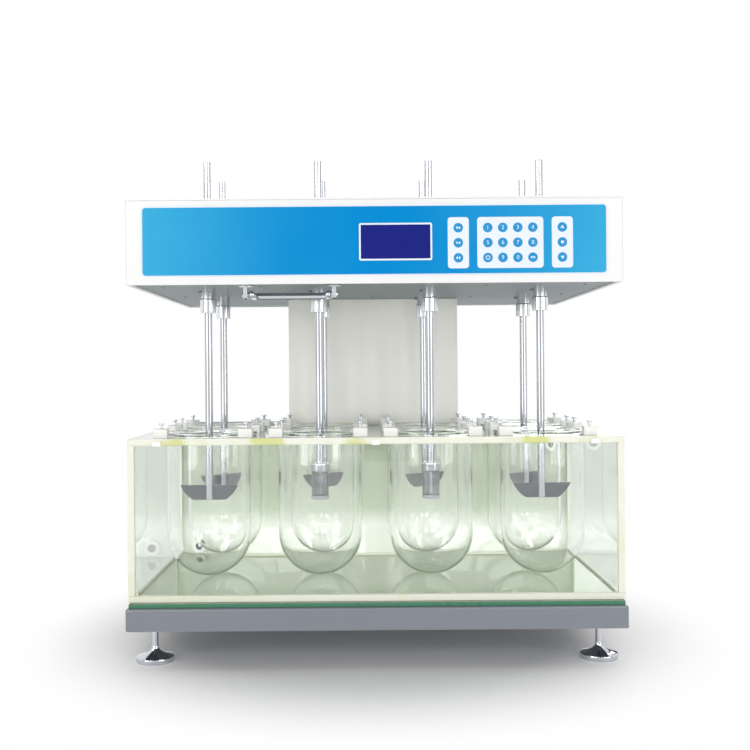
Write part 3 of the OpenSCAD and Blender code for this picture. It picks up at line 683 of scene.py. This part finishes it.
class TESTER_OT_bath(Operator):
    """Clear bath, its cover plate and the glass sheet that it stands on"""

    bl_idname = "tester.bath"
    bl_label = "Water bath"

    def execute(self, context):
        self.sheet("glass_sheet", ["float_glass", "ground_glass"], "sheet_glass")
        self.sheet("water_tank", ["cast_acrylic", "sawn_acrylic", "bath_underlay"], "acrylic")
        self.sheet("vessel_plate", ["cast_acrylic", "sawn_acrylic"], "acrylic")
        self.beads()
        self.ports()
        return {"FINISHED"}

    def beads(self):
        """Cement beads along the floor and up the rear corners, inside the bath."""
        low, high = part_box("water_tank")
        wall, bead, skin = 8 * MM, 3.0 * MM, 0.1 * MM
        left, right = low.x + wall + skin, high.x - wall - skin
        front, back = low.y + wall + skin, high.y - wall - skin
        floor, top = low.z + wall + skin, high.z - 1 * MM
        bm = bmesh.new()
        for a, b in (
            ((left, front, floor), (left + bead, back, floor + bead)),
            ((right - bead, front, floor), (right, back, floor + bead)),
            ((left + bead, back - bead, floor), (right - bead, back, floor + bead)),
            ((left, back - bead, floor + bead), (left + bead, back, top)),
            ((right - bead, back - bead, floor + bead), (right, back, top)),
        ):
            box_at(bm, a, b)
        piece("cement_beads", soften(bm, 0.5 * MM, 2), "sawn_acrylic", "base", [])

    def sheet(self, node, finishes, slot):
        """Sheets with broken edges: clear faces, sawn rims, and an underlay below the bath's floor."""
        bm = loose_copy(node)
        boxes = []
        for group in islands(bm):
            low = Vector(min(v.co[k] for v in group) for k in range(3))
            high = Vector(max(v.co[k] for v in group) for k in range(3))
            middle = (low + high) / 2
            for vert in group:
                for k in range(3):
                    vert.co[k] -= math.copysign(sizes().joint_gap, vert.co[k] - middle[k])
            boxes.append((low, high))
        soften(bm, sizes().clear_edge, 2)

        def outside(box, point):
            return sum(max(box[0][k] - point[k], 0, point[k] - box[1][k]) for k in range(3))

        for face in bm.faces:
            point = face.calc_center_median()
            low, high = min(boxes, key=lambda box: outside(box, point))
            size = high - low
            thin = min(range(3), key=lambda k: size[k])
            rim = any(
                abs(point[k] - edge[k]) < 3 * sizes().clear_edge
                for edge in (low, high) for k in range(3) if k != thin
            )
            if abs(face.normal[thin]) < 0.98 and rim:
                face.material_index = 1
            elif len(finishes) > 2 and thin == 2 and face.normal.z < -0.98:
                face.material_index = 2
        piece(f"{node}_clear", bm, finishes, "base", [node], 5)

    def ports(self):
        """White nuts of the two bath ports, with the walls of each bore in black as painted shade inside
        the hole.
        """
        bm = soften(loose_copy("tank_ports"), 0.5 * MM, 2)
        low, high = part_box("tank_ports")
        nut, bore = 11.5 * MM, 6.3 * MM
        axes = ((low.x + nut, low.z + nut), (high.x - nut, high.z - nut))
        for face in bm.faces:
            point = face.calc_center_median()
            reach = min(math.hypot(point.x - x, point.z - z) for x, z in axes)
            # Painted shade: the bore's walls take the black moulding, for the shade inside the hole.
            if reach < bore and abs(face.normal.y) < 0.5:
                face.material_index = 1
        piece("bath_ports", bm, ["block_nylon", "black_moulding"], "base", ["tank_ports"])


class TESTER_OT_vessels(Operator):
    """Eight round-bottomed glass vessels with their flanges"""

    bl_idname = "tester.vessels"
    bl_label = "Vessels"

    def execute(self, context):
        low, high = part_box("vessels_front")
        outer, wall, flange, flange_t = 54 * MM, 2.5 * MM, 62 * MM, 5 * MM
        inner = outer - wall
        bowl = low.z + outer
        seat = high.z - flange_t + 2 * sizes().joint_gap
        turn = 28
        angles = [math.pi / 2 * k / turn for k in range(turn + 1)]

        def round_bottom(radius, angles):
            return [(radius * math.sin(a), bowl - radius * math.cos(a)) for a in angles]

        rim = [
            (outer, seat - 0.6 * MM), (outer + 0.6 * MM, seat), (flange - 1.2 * MM, seat),
            (flange - 0.3 * MM, seat + 0.4 * MM), (flange, seat + 1.4 * MM),
            (flange, high.z - 1.4 * MM), (flange - 0.4 * MM, high.z - 0.4 * MM),
            (flange - 1.4 * MM, high.z), (inner + 1.6 * MM, high.z),
            (inner + 0.5 * MM, high.z - 0.5 * MM), (inner, high.z - 1.8 * MM),
        ]
        profile = round_bottom(outer, angles) + rim + round_bottom(inner, angles[::-1])
        for n in STATIONS:
            bm = lathe(bmesh.new(), profile, axis_of(f"stirrer_{n}"), steps=96)
            nodes = {1: ["vessels_front"], 5: ["vessels_rear"]}.get(n, [])
            piece(f"vessel_{n}", bm, "blown_glass", "base", nodes, 60)
        return {"FINISHED"}


class TESTER_OT_clamps(Operator):
    """Centring blocks, thumbscrews and the lugs on the plate's front edge"""

    bl_idname = "tester.clamps"
    bl_label = "Centring blocks"

    def execute(self, context):
        def is_screw(group):
            return max(v.co.z for v in group) - min(v.co.z for v in group) > 12 * MM

        bm = solids_of("vessel_clamps", lambda g: not is_screw(g))
        soften(bm, 0.8 * MM, 3)
        piece("centring_blocks", bm, "block_nylon", "base", ["vessel_clamps"])
        bm = solids_of("vessel_clamps", is_screw)
        soften(bm, 0.35 * MM, 2)
        piece("thumbscrews", bm, "chrome_plate", "base", [])
        return {"FINISHED"}


class TESTER_OT_cabinet(Operator):
    """Rear cabinet with its deck, the column and what is inside them"""

    bl_idname = "tester.cabinet"
    bl_label = "Cabinet and column"

    def execute(self, context):
        low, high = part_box("rear_chassis")

        def is_deck(group):
            return min(v.co.z for v in group) > (low.z + high.z) / 2

        bm = solids_of("rear_chassis", lambda g: not is_deck(g))
        soften(bm, 0.7 * MM, 2)
        piece("rear_cabinet", bm, "cabinet_enamel", "base", ["rear_chassis"])
        bm = solids_of("rear_chassis", is_deck)
        piece("rear_deck", soften(bm, 0.5 * MM, 2), "deck_enamel", "base", [])
        bm = soften(loose_copy("column_cover"), sizes().sheet_edge, 3)
        piece("column_sleeve", bm, "cabinet_enamel", "head", ["column_cover"])
        self.fixings()
        paint_nodes(
            circulation_heater="turned_aluminium", lift_mast="turned_aluminium", lift_rods="ground_steel",
            gas_spring_cylinder="black_moulding", mains_inlet="black_moulding",
            power_switch="black_moulding",
        )
        return {"FINISHED"}

    def fixings(self):
        """Screws on the backs of the cabinet and the column, and the three pins of the mains inlet."""
        low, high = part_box("rear_chassis")
        edge = 9 * MM
        back = (0, 1, 0)
        rows = [low.z + edge + k * (high.z - low.z - 2 * edge) / 2 for k in range(3)]
        places = [((x, high.y, z), back) for x in (low.x + edge, high.x - edge) for z in rows]
        places += [((x * MM, high.y, z), back) for x in (-100, 100) for z in (rows[0], rows[2])]
        inlet_low, inlet_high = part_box("mains_inlet")
        x, z = inlet_high.x - 25 * MM, (inlet_low.z + inlet_high.z) / 2
        places += [((x + s * 20 * MM, inlet_high.y, z), back) for s in (-1, 1)]
        screw_set("cabinet_screws", places, 2.8 * MM, 1.4 * MM, "base")
        low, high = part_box("column_cover")
        places = [
            ((s, high.y, z * MM), back) for s in (low.x + edge, high.x - edge) for z in (372, 414, 456)
        ]
        screw_set("column_screws", places, 2.4 * MM, 1.2 * MM, "head")
        bm = bmesh.new()
        for dx, dz in ((-7, -1.5), (0, 2), (7, -1.5)):
            box_at(
                bm, (x + (dx - 1) * MM, inlet_high.y - 19.5 * MM, z + (dz - 2) * MM),
                (x + (dx + 1) * MM, inlet_high.y - 4 * MM, z + (dz + 2) * MM),
            )
        piece("inlet_pins", soften(bm, 0.4 * MM, 2), "screw_steel", "base", [])


class TESTER_OT_head(Operator):
    """Head cover, base plate, handle and drive"""

    bl_idname = "tester.head"
    bl_label = "Head"

    def execute(self, context):
        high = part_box("head_cover")[1]
        sheet, near = 2 * MM, 0.5 * MM
        seams = ((2, high.z - sheet), (1, high.y - sheet))

        def off_seams(edge):
            return not any(all(abs(v.co[k] - at) < near for v in edge.verts) for k, at in seams)

        bm = soften(loose_copy("head_cover"), sizes().sheet_edge, 3, angle=60, where=off_seams)
        piece("head_shell", bm, "head_enamel", "head", ["head_cover"])
        bm = soften(loose_copy("head_base_plate"), 0.4 * MM, 2, angle=60)
        piece("head_deck", bm, "deck_enamel", "head", ["head_base_plate"])
        self.screws()
        self.brackets()
        paint_nodes(
            lift_handle="chrome_plate", drive_motor="black_moulding", motor_pulley="turned_aluminium",
            drive_belt="seal_rubber", bearing_housings="turned_aluminium", shaft_seals="seal_rubber",
            control_board="solder_mask",
        )
        return {"FINISHED"}

    def brackets(self):
        """Handle brackets with rounded edges and a domed pin head on each outer side."""
        bm = soften(loose_copy("handle_brackets"), 0.7 * MM, 3, angle=50)
        low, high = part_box("handle_brackets")
        rose, ear = 9 * MM, 2.5 * MM
        y, z = (low.y + high.y) / 2, low.z + 7 * MM
        places = [((low.x + rose - ear, y, z), (-1, 0, 0)), ((high.x - rose + ear, y, z), (1, 0, 0))]
        screw_heads(bm, places, 4.2 * MM, 2 * MM)
        piece("handle_ears", bm, "chrome_plate", "head", ["handle_brackets"])

    def screws(self):
        """Screws that hold the base plate to the cover, and the set screw at the top of each chuck."""
        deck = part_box("head_base_plate")[0].z
        down = (0, 0, -1)
        places = [((x * MM, y * MM, deck), down) for x in (-144, 0, 144) for y in (-165, 40)]
        places += [((x * MM, y * MM, deck), down) for x in (-270, 270) for y in (-165, 0, 165)]
        screw_set("deck_screws", places, 2.6 * MM, 1.3 * MM, "head")
        low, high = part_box("head_cover")
        z = low.z + 12 * MM
        places = [((low.x, y * MM, z), (-1, 0, 0)) for y in (-160, 0, 160)]
        places += [((high.x, y * MM, z), (1, 0, 0)) for y in (-160, 0, 160)]
        places += [((x * MM, high.y, z), (0, 1, 0)) for x in (-250, -90, 90, 250)]
        screw_set("cover_screws", places, 2.8 * MM, 1.4 * MM, "head")
        for n in STATIONS:
            x, y = axis_of(f"stirrer_{n}")
            place_at = (x - 9 * MM, y, deck - 5 * MM), (-1, 0, 0)
            screw_set(f"stirrer_{n}_set_screw", [place_at], 1.9 * MM, 4 * MM, f"stirrer_{n}")


class TESTER_OT_panel(Operator):
    """Printed front panel, its fields, the display and the keys"""

    bl_idname = "tester.panel"
    bl_label = "Panel and keys"

    def execute(self, context):
        bm = soften(loose_copy("front_panel"), 0.2 * MM, 1, angle=60)
        piece("panel_sheet", bm, "printed_film", "head", ["front_panel"])
        low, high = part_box("front_panel")
        self.frame_line("panel_border", low, high, 0.0, 1.1 * MM, 5 * MM)
        glass_low, glass_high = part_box("display_window")
        self.frame_line("display_border", glass_low, glass_high, -0.9 * MM, 2.1 * MM, 2.2 * MM)
        paint_nodes(display_window="display_glass")
        for label, keys in FIELDS.items():
            self.field(label, keys)
        for key in KEYS:
            self.cap(key)
        self.legends()
        return {"FINISHED"}

    def frame_line(self, name, low, high, out, width, radius):
        """A printed line round a box on the panel, from out millimetres outside it inwards."""
        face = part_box("front_panel")[0].y
        bm = bmesh.new()
        outline(bm, (low.x - out, low.z - out), (high.x + out, high.z + out), face, radius)
        inner = out - width
        corners = (low.x - inner, low.z - inner), (high.x + inner, high.z + inner)
        outline(bm, *corners, face, max(radius - width, 0))
        piece(name, plate_from(bm, sizes().print_t), "printed_white", "head", [])

    def field(self, label, keys):
        """White printed field with a round gap for each of its keys."""
        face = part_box("front_panel")[0].y
        edge = 12.9 * MM
        centres = [self.middle(k) for k in keys]
        xs, zs = zip(*centres)
        bm = bmesh.new()
        outline(bm, (min(xs) - edge, min(zs) - edge), (max(xs) + edge, max(zs) + edge), face, 4 * MM)
        for x, z in centres:
            hole_edge(bm, x, face, z, 5.9 * MM)
        plate_from(bm, sizes().print_t)
        piece(f"key_field_{label}", bm, "printed_white", "head", [])

    def middle(self, key):
        low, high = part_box(key)
        return (low.x + high.x) / 2, (low.z + high.z) / 2

    def cap(self, key):
        """A key's cap with a rounded rim and a slightly domed face."""
        low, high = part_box(key)
        x, z = self.middle(key)
        flange = (high.x - low.x) / 2
        radius = flange - 1.2 * MM
        depth = high.y - low.y
        step = high.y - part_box("front_panel")[1].y
        rim = 0.5 * MM
        rise = 0.12 * MM
        curve = [
            (radius - rim + rim * math.cos(a), depth - rise - rim + rim * math.sin(a))
            for a in (math.pi / 2 * k / 5 for k in range(6))
        ]
        dome = [((radius - rim) * (1 - k / 8), depth - rise * (1 - k / 8) ** 2) for k in range(1, 9)]
        profile = [(0, 0), (flange, 0), (flange, step), (radius, step), *curve, *dome]
        bm = lathe(bmesh.new(), profile, (0, 0), steps=40)
        bmesh.ops.transform(bm, matrix=upright(x, high.y, z), verts=bm.verts)
        piece(f"{key}_cap", bm, "key_cap", key, [key])

    def order(self):
        """The keypad's keys row by row from the upper left."""
        return sorted(FIELDS["pad"], key=lambda k: (-round(self.middle(k)[1], 4), self.middle(k)[0]))

    def legends(self):
        signs = dict(zip(self.order(), ("1", "2", "3", "4", "5", "6", "7", "8", "ring", "9", "0", "bars")))
        signs.update({k: "bars" for k in FIELDS["left"]})
        column = sorted(FIELDS["right"], key=lambda k: -self.middle(k)[1])
        signs.update(zip(column, ("up", "square", "down")))
        for key, sign in signs.items():
            self.legend(key, sign)

    def legend(self, key, sign):
        """A digit or plain mark, printed on a key's face."""
        size = 5.4 * MM
        bm = bmesh.new()
        if sign.isdigit():
            curve = bpy.data.curves.new("digit", "FONT")
            curve.body = sign
            curve.size = size * 1.25
            curve.align_x = "CENTER"
            curve.align_y = "CENTER"
            curve.resolution_u = 4
            holder = bpy.data.objects.new("digit", curve)
            bm.from_mesh(holder.to_mesh())
            holder.to_mesh_clear()
            bpy.data.objects.remove(holder)
            bpy.data.curves.remove(curve)
            bmesh.ops.remove_doubles(bm, verts=bm.verts, dist=0.002 * MM)
        elif sign == "bars":
            for x in (-1, 1):
                rectangle(bm, 0.36 * size, 0.46 * size, Matrix.Translation((x * 0.27 * size, 0, 0)))
        elif sign == "ring":
            bmesh.ops.create_circle(bm, segments=24, radius=size * 0.5)
            bmesh.ops.create_circle(bm, segments=24, radius=size * 0.32)
            bmesh.ops.bridge_loops(bm, edges=bm.edges)
        elif sign == "square":
            rectangle(bm, 0.6 * size, 0.6 * size, Matrix())
        else:
            turn = Matrix.Rotation(math.pi if sign == "down" else 0.0, 4, "Z")
            bmesh.ops.create_circle(bm, cap_ends=True, segments=3, radius=size * 0.48, matrix=turn)
        thicken(bm, (0, 0, 0.14 * MM))
        x, z = self.middle(key)
        face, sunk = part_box(key)[0].y, 0.1 * MM
        bmesh.ops.transform(bm, matrix=upright(x, face + sunk, z), verts=bm.verts)
        piece(f"{key}_legend", bm, "legend_print", key, [])


class TESTER_OT_stirrers(Operator):
    """Shafts, chucks, paddle blades and basket hubs"""

    bl_idname = "tester.stirrers"
    bl_label = "Stirrers"

    def execute(self, context):
        for n in STATIONS:
            name = f"stirrer_{n}"
            low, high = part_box(name)
            centre = axis_of(name)
            shaft = 5 * MM
            end = 0.5 * MM
            bm = lathe(bmesh.new(), [
                (0, low.z), (shaft - end, low.z), (shaft, low.z + end),
                (shaft, high.z - 1.2 * MM), (shaft - 0.5 * MM, high.z - 0.35 * MM),
                (shaft - 1.2 * MM, high.z), (0, high.z),
            ], centre)
            piece(f"{name}_shaft", bm, "ground_steel", name, [name])
            self.chuck(name, centre)
            if n in BASKETS:
                self.hub(name, centre)
            else:
                self.blade(name, centre, 0.0 if n <= 4 else math.radians(34))
        return {"FINISHED"}

    def chuck(self, name, centre):
        """Spindle tube with its pulley inside the head and the chuck below it."""
        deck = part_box("head_base_plate")[0].z
        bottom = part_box("head_cover")[0].z - 30 * MM
        belt_low, belt_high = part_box("motor_pulley")
        rim = (belt_high.x - belt_low.x) / 2
        bore, neck, tube, collar = 5.05 * MM, 9.3 * MM, 9 * MM, 10.5 * MM
        pulley = belt_high.z - 13 * MM
        profile = [
            (bore, bottom), (collar - 1 * MM, bottom), (collar - 0.3 * MM, bottom + 0.3 * MM),
            (collar, bottom + 1 * MM), (collar, bottom + 17 * MM), (collar - 0.5 * MM, bottom + 17.7 * MM),
            (neck + 0.4 * MM, bottom + 18 * MM), (neck, bottom + 18.6 * MM), (neck, deck), (tube, deck),
            (tube, pulley), (rim, pulley), (rim, pulley + 1.5 * MM), (rim - 3 * MM, pulley + 1.5 * MM),
            (rim - 3 * MM, pulley + 11.5 * MM), (rim, pulley + 11.5 * MM), (rim, pulley + 13 * MM),
            (tube, pulley + 13 * MM), (tube, pulley + 18 * MM), (bore, pulley + 18 * MM),
        ]
        bm = lathe(bmesh.new(), profile, centre, closed=True)
        piece(f"{name}_chuck", bm, "turned_aluminium", name, [])

    def blade(self, name, centre, turn):
        """Paddle blade: a disc cut off flat at its top and bottom."""
        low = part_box(name)[0]
        top, base, height, thick = 74.5 * MM, 42 * MM, 19 * MM, 4 * MM
        rise = ((top / 2) ** 2 - (base / 2) ** 2 - height ** 2) / (2 * height)
        radius = math.hypot(top / 2, rise)
        bm = bmesh.new()
        middle = upright(0, -thick / 2, height + rise)
        bmesh.ops.create_circle(bm, cap_ends=True, segments=160, radius=radius, matrix=middle)
        for z, side in ((0.0, -1), (height, 1)):
            bmesh.ops.bisect_plane(
                bm, geom=bm.verts[:] + bm.edges[:] + bm.faces[:], plane_co=(0, 0, z), plane_no=(0, 0, side),
                clear_outer=True,
            )
        thicken(bm, (0, thick, 0))
        soften(bm, 0.6 * MM, 3, angle=50)
        bmesh.ops.transform(
            bm, verts=bm.verts,
            matrix=Matrix.Translation((centre[0], centre[1], low.z)) @ Matrix.Rotation(turn, 4, "Z"),
        )
        piece(f"{name}_blade", bm, "blade_coat", name, [])

    def hub(self, name, centre):
        """Basket hub with its flange and three spring clips."""
        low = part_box(name)[0]
        hub, flange = 9.9 * MM, 12.5 * MM
        z = low.z
        bm = lathe(bmesh.new(), [
            (5 * MM, z), (hub - 0.4 * MM, z), (hub, z + 0.4 * MM), (hub, z + 8.05 * MM),
            (flange - 0.5 * MM, z + 8.05 * MM), (flange, z + 8.5 * MM), (flange, z + 10.5 * MM),
            (flange - 0.6 * MM, z + 11.05 * MM), (8 * MM, z + 11.05 * MM), (5 * MM, z + 11.05 * MM),
        ], centre, closed=True)
        for k in range(3):
            turn = Matrix.Rotation(math.tau * k / 3 + 0.5, 4, "Z")
            tab = box_at(bm, (8.6 * MM, -2.2 * MM, -3.6 * MM), (9.95 * MM, 2.2 * MM, 2.6 * MM))
            bmesh.ops.transform(bm, verts=tab, matrix=Matrix.Translation((*centre, z + 5 * MM)) @ turn)
        piece(f"{name}_hub", bm, "turned_aluminium", name, [])


class TESTER_OT_baskets(Operator):
    """Woven wire baskets"""

    bl_idname = "tester.baskets"
    bl_label = "Baskets"

    def execute(self, context):
        for n in BASKETS:
            name = f"basket_{n}"
            low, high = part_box(name)
            x, y = axis_of(name)
            wall = 11.1 * MM
            rim = (high.x - low.x) / 2
            ring = high.z - 8 * MM
            bm = bmesh.new()
            middle = wall - sizes().wire / 2
            bmesh.ops.create_cone(
                bm, cap_ends=False, segments=18, radius1=middle, radius2=middle,
                depth=ring - low.z - 4 * MM,
                matrix=Matrix.Translation((x, y, (ring + low.z + 4 * MM) / 2)),
            )
            upright = [e for e in bm.edges if abs(e.verts[0].co.z - e.verts[1].co.z) > 1 * MM]
            bmesh.ops.subdivide_edges(bm, edges=upright, cuts=9, use_grid_fill=True)
            rings = [e for e in bm.edges if len(e.link_faces) == 2]
            bmesh.ops.poke(bm, faces=bm.faces)
            bmesh.ops.dissolve_edges(bm, edges=rings, use_verts=False)
            bmesh.ops.wireframe(
                bm, faces=bm.faces, thickness=sizes().wire, offset=0.0, use_replace=True, use_boundary=True,
                use_even_offset=True,
            )
            lathe(bm, [
                (rim - 2.4 * MM, ring), (rim - 0.4 * MM, ring), (rim, ring + 0.5 * MM),
                (rim, high.z - 0.5 * MM), (rim - 0.4 * MM, high.z), (rim - 2.4 * MM, high.z),
            ], (x, y), closed=True)
            foot = wall + 0.4 * MM
            lathe(bm, [
                (0, low.z), (foot - 1.2 * MM, low.z), (foot, low.z + 1 * MM), (foot, low.z + 4.6 * MM),
                (foot - 0.4 * MM, low.z + 5 * MM), (foot - 1.2 * MM, low.z + 5 * MM),
                (foot - 1.2 * MM, low.z + 1 * MM), (0, low.z + 0.8 * MM),
            ], (x, y))
            piece(f"{name}_mesh", bm, "drawn_wire", name, [name])
        return {"FINISHED"}


class TESTER_OT_stage(Operator):
    """Floor, light and camera"""

    bl_idname = "tester.stage"
    bl_label = "Stage"

    def execute(self, context):
        self.floor()
        self.world()
        self.lamps()
        self.cards()
        self.windows()
        self.camera()
        context.scene.view_settings.view_transform = "Standard"
        cycles = context.scene.cycles
        cycles.max_bounces = 28
        cycles.transmission_bounces = 28
        cycles.transparent_max_bounces = 28
        return {"FINISHED"}

    def seen(self, tree):
        """1 for what the camera sees itself or in metal and glass, 0 for the light on matt surfaces."""
        path = tree.nodes.new("ShaderNodeLightPath")
        direct = maths(tree, "ADD", path.outputs["Is Camera Ray"], path.outputs["Is Glossy Ray"])
        return maths(tree, "ADD", direct, path.outputs["Is Transmission Ray"], clamp=True)

    def backdrop(self, name, bm, material, hidden=()):
        """A piece that isn't part of the object, hidden from some kinds of ray."""
        mesh = bpy.data.meshes.new(name)
        bm.to_mesh(mesh)
        bm.free()
        mesh.materials.append(material)
        made = bpy.data.objects.new(name, mesh)
        bpy.context.scene.collection.objects.link(made)
        for ray in hidden:
            setattr(made, f"visible_{ray}", False)

    def floor(self):
        """Pale floor that keeps the object's shadow and fades to the white behind it."""
        made, tree, shader = new_material("pale_floor")
        shader.inputs["Base Color"].default_value = (0.96, 0.96, 0.96, 1.0)
        shader.inputs["Roughness"].default_value = 0.6
        shader.inputs["Specular IOR Level"].default_value = 0.2
        vector = place(tree)
        far = tree.nodes.new("ShaderNodeVectorMath")
        far.operation = "LENGTH"
        tree.links.new(vector, far.inputs[0])
        fade = ramp(tree, far.outputs["Value"], 0.26, 0.5)
        glow = tree.nodes.new("ShaderNodeEmission")
        either(tree, maths(tree, "MULTIPLY", self.seen(tree), fade), shader, glow)
        bm = bmesh.new()
        bmesh.ops.create_circle(bm, cap_ends=True, segments=96, radius=9.0)
        self.backdrop("floor", bm, made)

    def world(self):
        """White behind the object, and a softer level of the same white as light on it."""
        world = bpy.data.worlds.new("studio")
        bpy.context.scene.world = world
        world.use_nodes = True
        tree = world.node_tree
        back = tree.nodes["Background"]
        back.inputs["Color"].default_value = (1.0, 1.0, 1.0, 1.0)
        matt = 0.34
        level = maths(tree, "ADD", maths(tree, "MULTIPLY", self.seen(tree), 1.0 - matt), matt)
        tree.links.new(level, back.inputs["Strength"])

    def lamps(self):
        target = Vector((0.0, 0.0, 0.34))
        for name, place_at, size, watts, mirrored in (
            ("left_softbox", (-1.8, -2.0, 0.55), (1.0, 1.3), 11.5, True),
            ("right_softbox", (2.0, -1.9, 0.5), (1.0, 1.3), 11.5, True),
            ("low_fill", (0.0, -2.7, 0.4), (1.6, 0.5), 18.0, False),
            ("left_strip", (-0.85, -2.1, 0.95), (0.16, 0.5), 2.5, True),
            ("right_strip", (1.05, -1.95, 0.85), (0.16, 0.5), 2.5, True),
            ("top_softbox", (0.0, 0.2, 2.6), (1.6, 1.6), 13.0, True),
            ("rear_softbox", (0.7, 2.5, 1.2), (1.6, 1.6), 20.0, True),
        ):
            lamp = bpy.data.lights.new(name, "AREA")
            lamp.energy = watts
            lamp.shape = "RECTANGLE"
            lamp.size, lamp.size_y = size
            made = bpy.data.objects.new(name, lamp)
            made.location = place_at
            made.rotation_euler = (target - Vector(place_at)).to_track_quat("-Z", "Y").to_euler()
            made.visible_glossy = mirrored
            bpy.context.scene.collection.objects.link(made)

    def cards(self):
        """Dark upright cards that only polished metal and glass mirror, as streaks along their length."""
        made, _, shader = new_material("dark_card")
        shader.inputs["Base Color"].default_value = (0.02, 0.022, 0.025, 1.0)
        shader.inputs["Roughness"].default_value = 0.9
        middle, tall = 1.1, 2.1
        for name, turn, far, width in (
            ("left_card", -62, 2.6, 0.5), ("front_card", 3, 2.5, 0.3), ("right_card", 68, 2.6, 0.45),
            ("rear_card", 150, 2.8, 0.5),
        ):
            hidden = ["camera", "diffuse", "volume_scatter", "shadow"]
            if abs(turn) > 90:
                hidden.append("transmission")
            stand = Matrix.Rotation(math.radians(turn), 4, "Z") @ upright(0, -far, middle)
            bm = bmesh.new()
            rectangle(bm, width, tall, stand)
            self.backdrop(name, bm, made, hidden)

    def windows(self):
        """Two tall bright windows, high in front, that only glass and metal mirror."""
        made, tree, _ = new_material("window_light")
        glow = tree.nodes.new("ShaderNodeEmission")
        path = tree.nodes.new("ShaderNodeLightPath")
        mirrored = maths(tree, "LESS_THAN", path.outputs["Diffuse Depth"], 0.5)
        tree.links.new(maths(tree, "MULTIPLY", mirrored, 12.0), glow.inputs["Strength"])
        tree.links.new(glow.outputs[0], tree.nodes["Material Output"].inputs["Surface"])
        target, far, tall = Vector((0.0, 0.0, 0.2)), 2.5, 1.5
        for name, turn, climb, width in (
            ("left_window", -52, 36, 0.85), ("right_window", 40, 34, 0.5),
        ):
            side, up = math.radians(turn), math.radians(climb)
            way = Vector((
                math.sin(side) * math.cos(up), -math.cos(side) * math.cos(up), math.sin(up),
            ))
            face = way.to_track_quat("Z", "Y").to_matrix().to_4x4()
            bm = bmesh.new()
            rectangle(bm, width, tall, Matrix.Translation(target + way * far) @ face)
            self.backdrop(name, bm, made, ["camera", "diffuse", "volume_scatter", "shadow"])

    def camera(self):
        data = bpy.data.cameras.new("photo_camera")
        data.lens = 49.4
        data.sensor_width = 36.0
        data.shift_x = 0.0133
        data.shift_y = -0.0053
        made = bpy.data.objects.new("photo_camera", data)
        made.location = (-0.0125, -1.48, 0.364)
        made.rotation_euler = (math.pi / 2, math.radians(0.45), 0.0)
        bpy.context.scene.collection.objects.link(made)
        bpy.context.scene.camera = made


STEPS = (
    TESTER_OT_stage,
    TESTER_OT_tray,
    TESTER_OT_bath,
    TESTER_OT_vessels,
    TESTER_OT_clamps,
    TESTER_OT_cabinet,
    TESTER_OT_head,
    TESTER_OT_panel,
    TESTER_OT_stirrers,
    TESTER_OT_baskets,
)


class TESTER_PT_panel(Panel):
    """Lists the steps that build the tester."""

    bl_idname = "TESTER_PT_panel"
    bl_label = "Dissolution tester"
    bl_space_type = "VIEW_3D"
    bl_region_type = "UI"
    bl_category = "Tester"

    def draw(self, context):
        for step in STEPS:
            self.layout.operator(step.bl_idname)
        for group in (context.scene.tester_sizes, context.scene.tester_colours):
            column = self.layout.column()
            for prop in group.bl_rna.properties:
                if prop.identifier not in {"rna_type", "name"}:
                    column.prop(group, prop.identifier)


CLASSES = (TesterColours, TesterSizes, *STEPS, TESTER_PT_panel)


def register():
    for cls in CLASSES:
        bpy.utils.register_class(cls)
    bpy.types.Scene.tester_colours = PointerProperty(type=TesterColours)
    bpy.types.Scene.tester_sizes = PointerProperty(type=TesterSizes)


def unregister():
    del bpy.types.Scene.tester_sizes
    del bpy.types.Scene.tester_colours
    for cls in reversed(CLASSES):
        bpy.utils.unregister_class(cls)


def main():
    register()
    for step in STEPS:
        family, call = step.bl_idname.split(".")
        getattr(getattr(bpy.ops, family), call)()


if __name__ == "__main__":
    main()
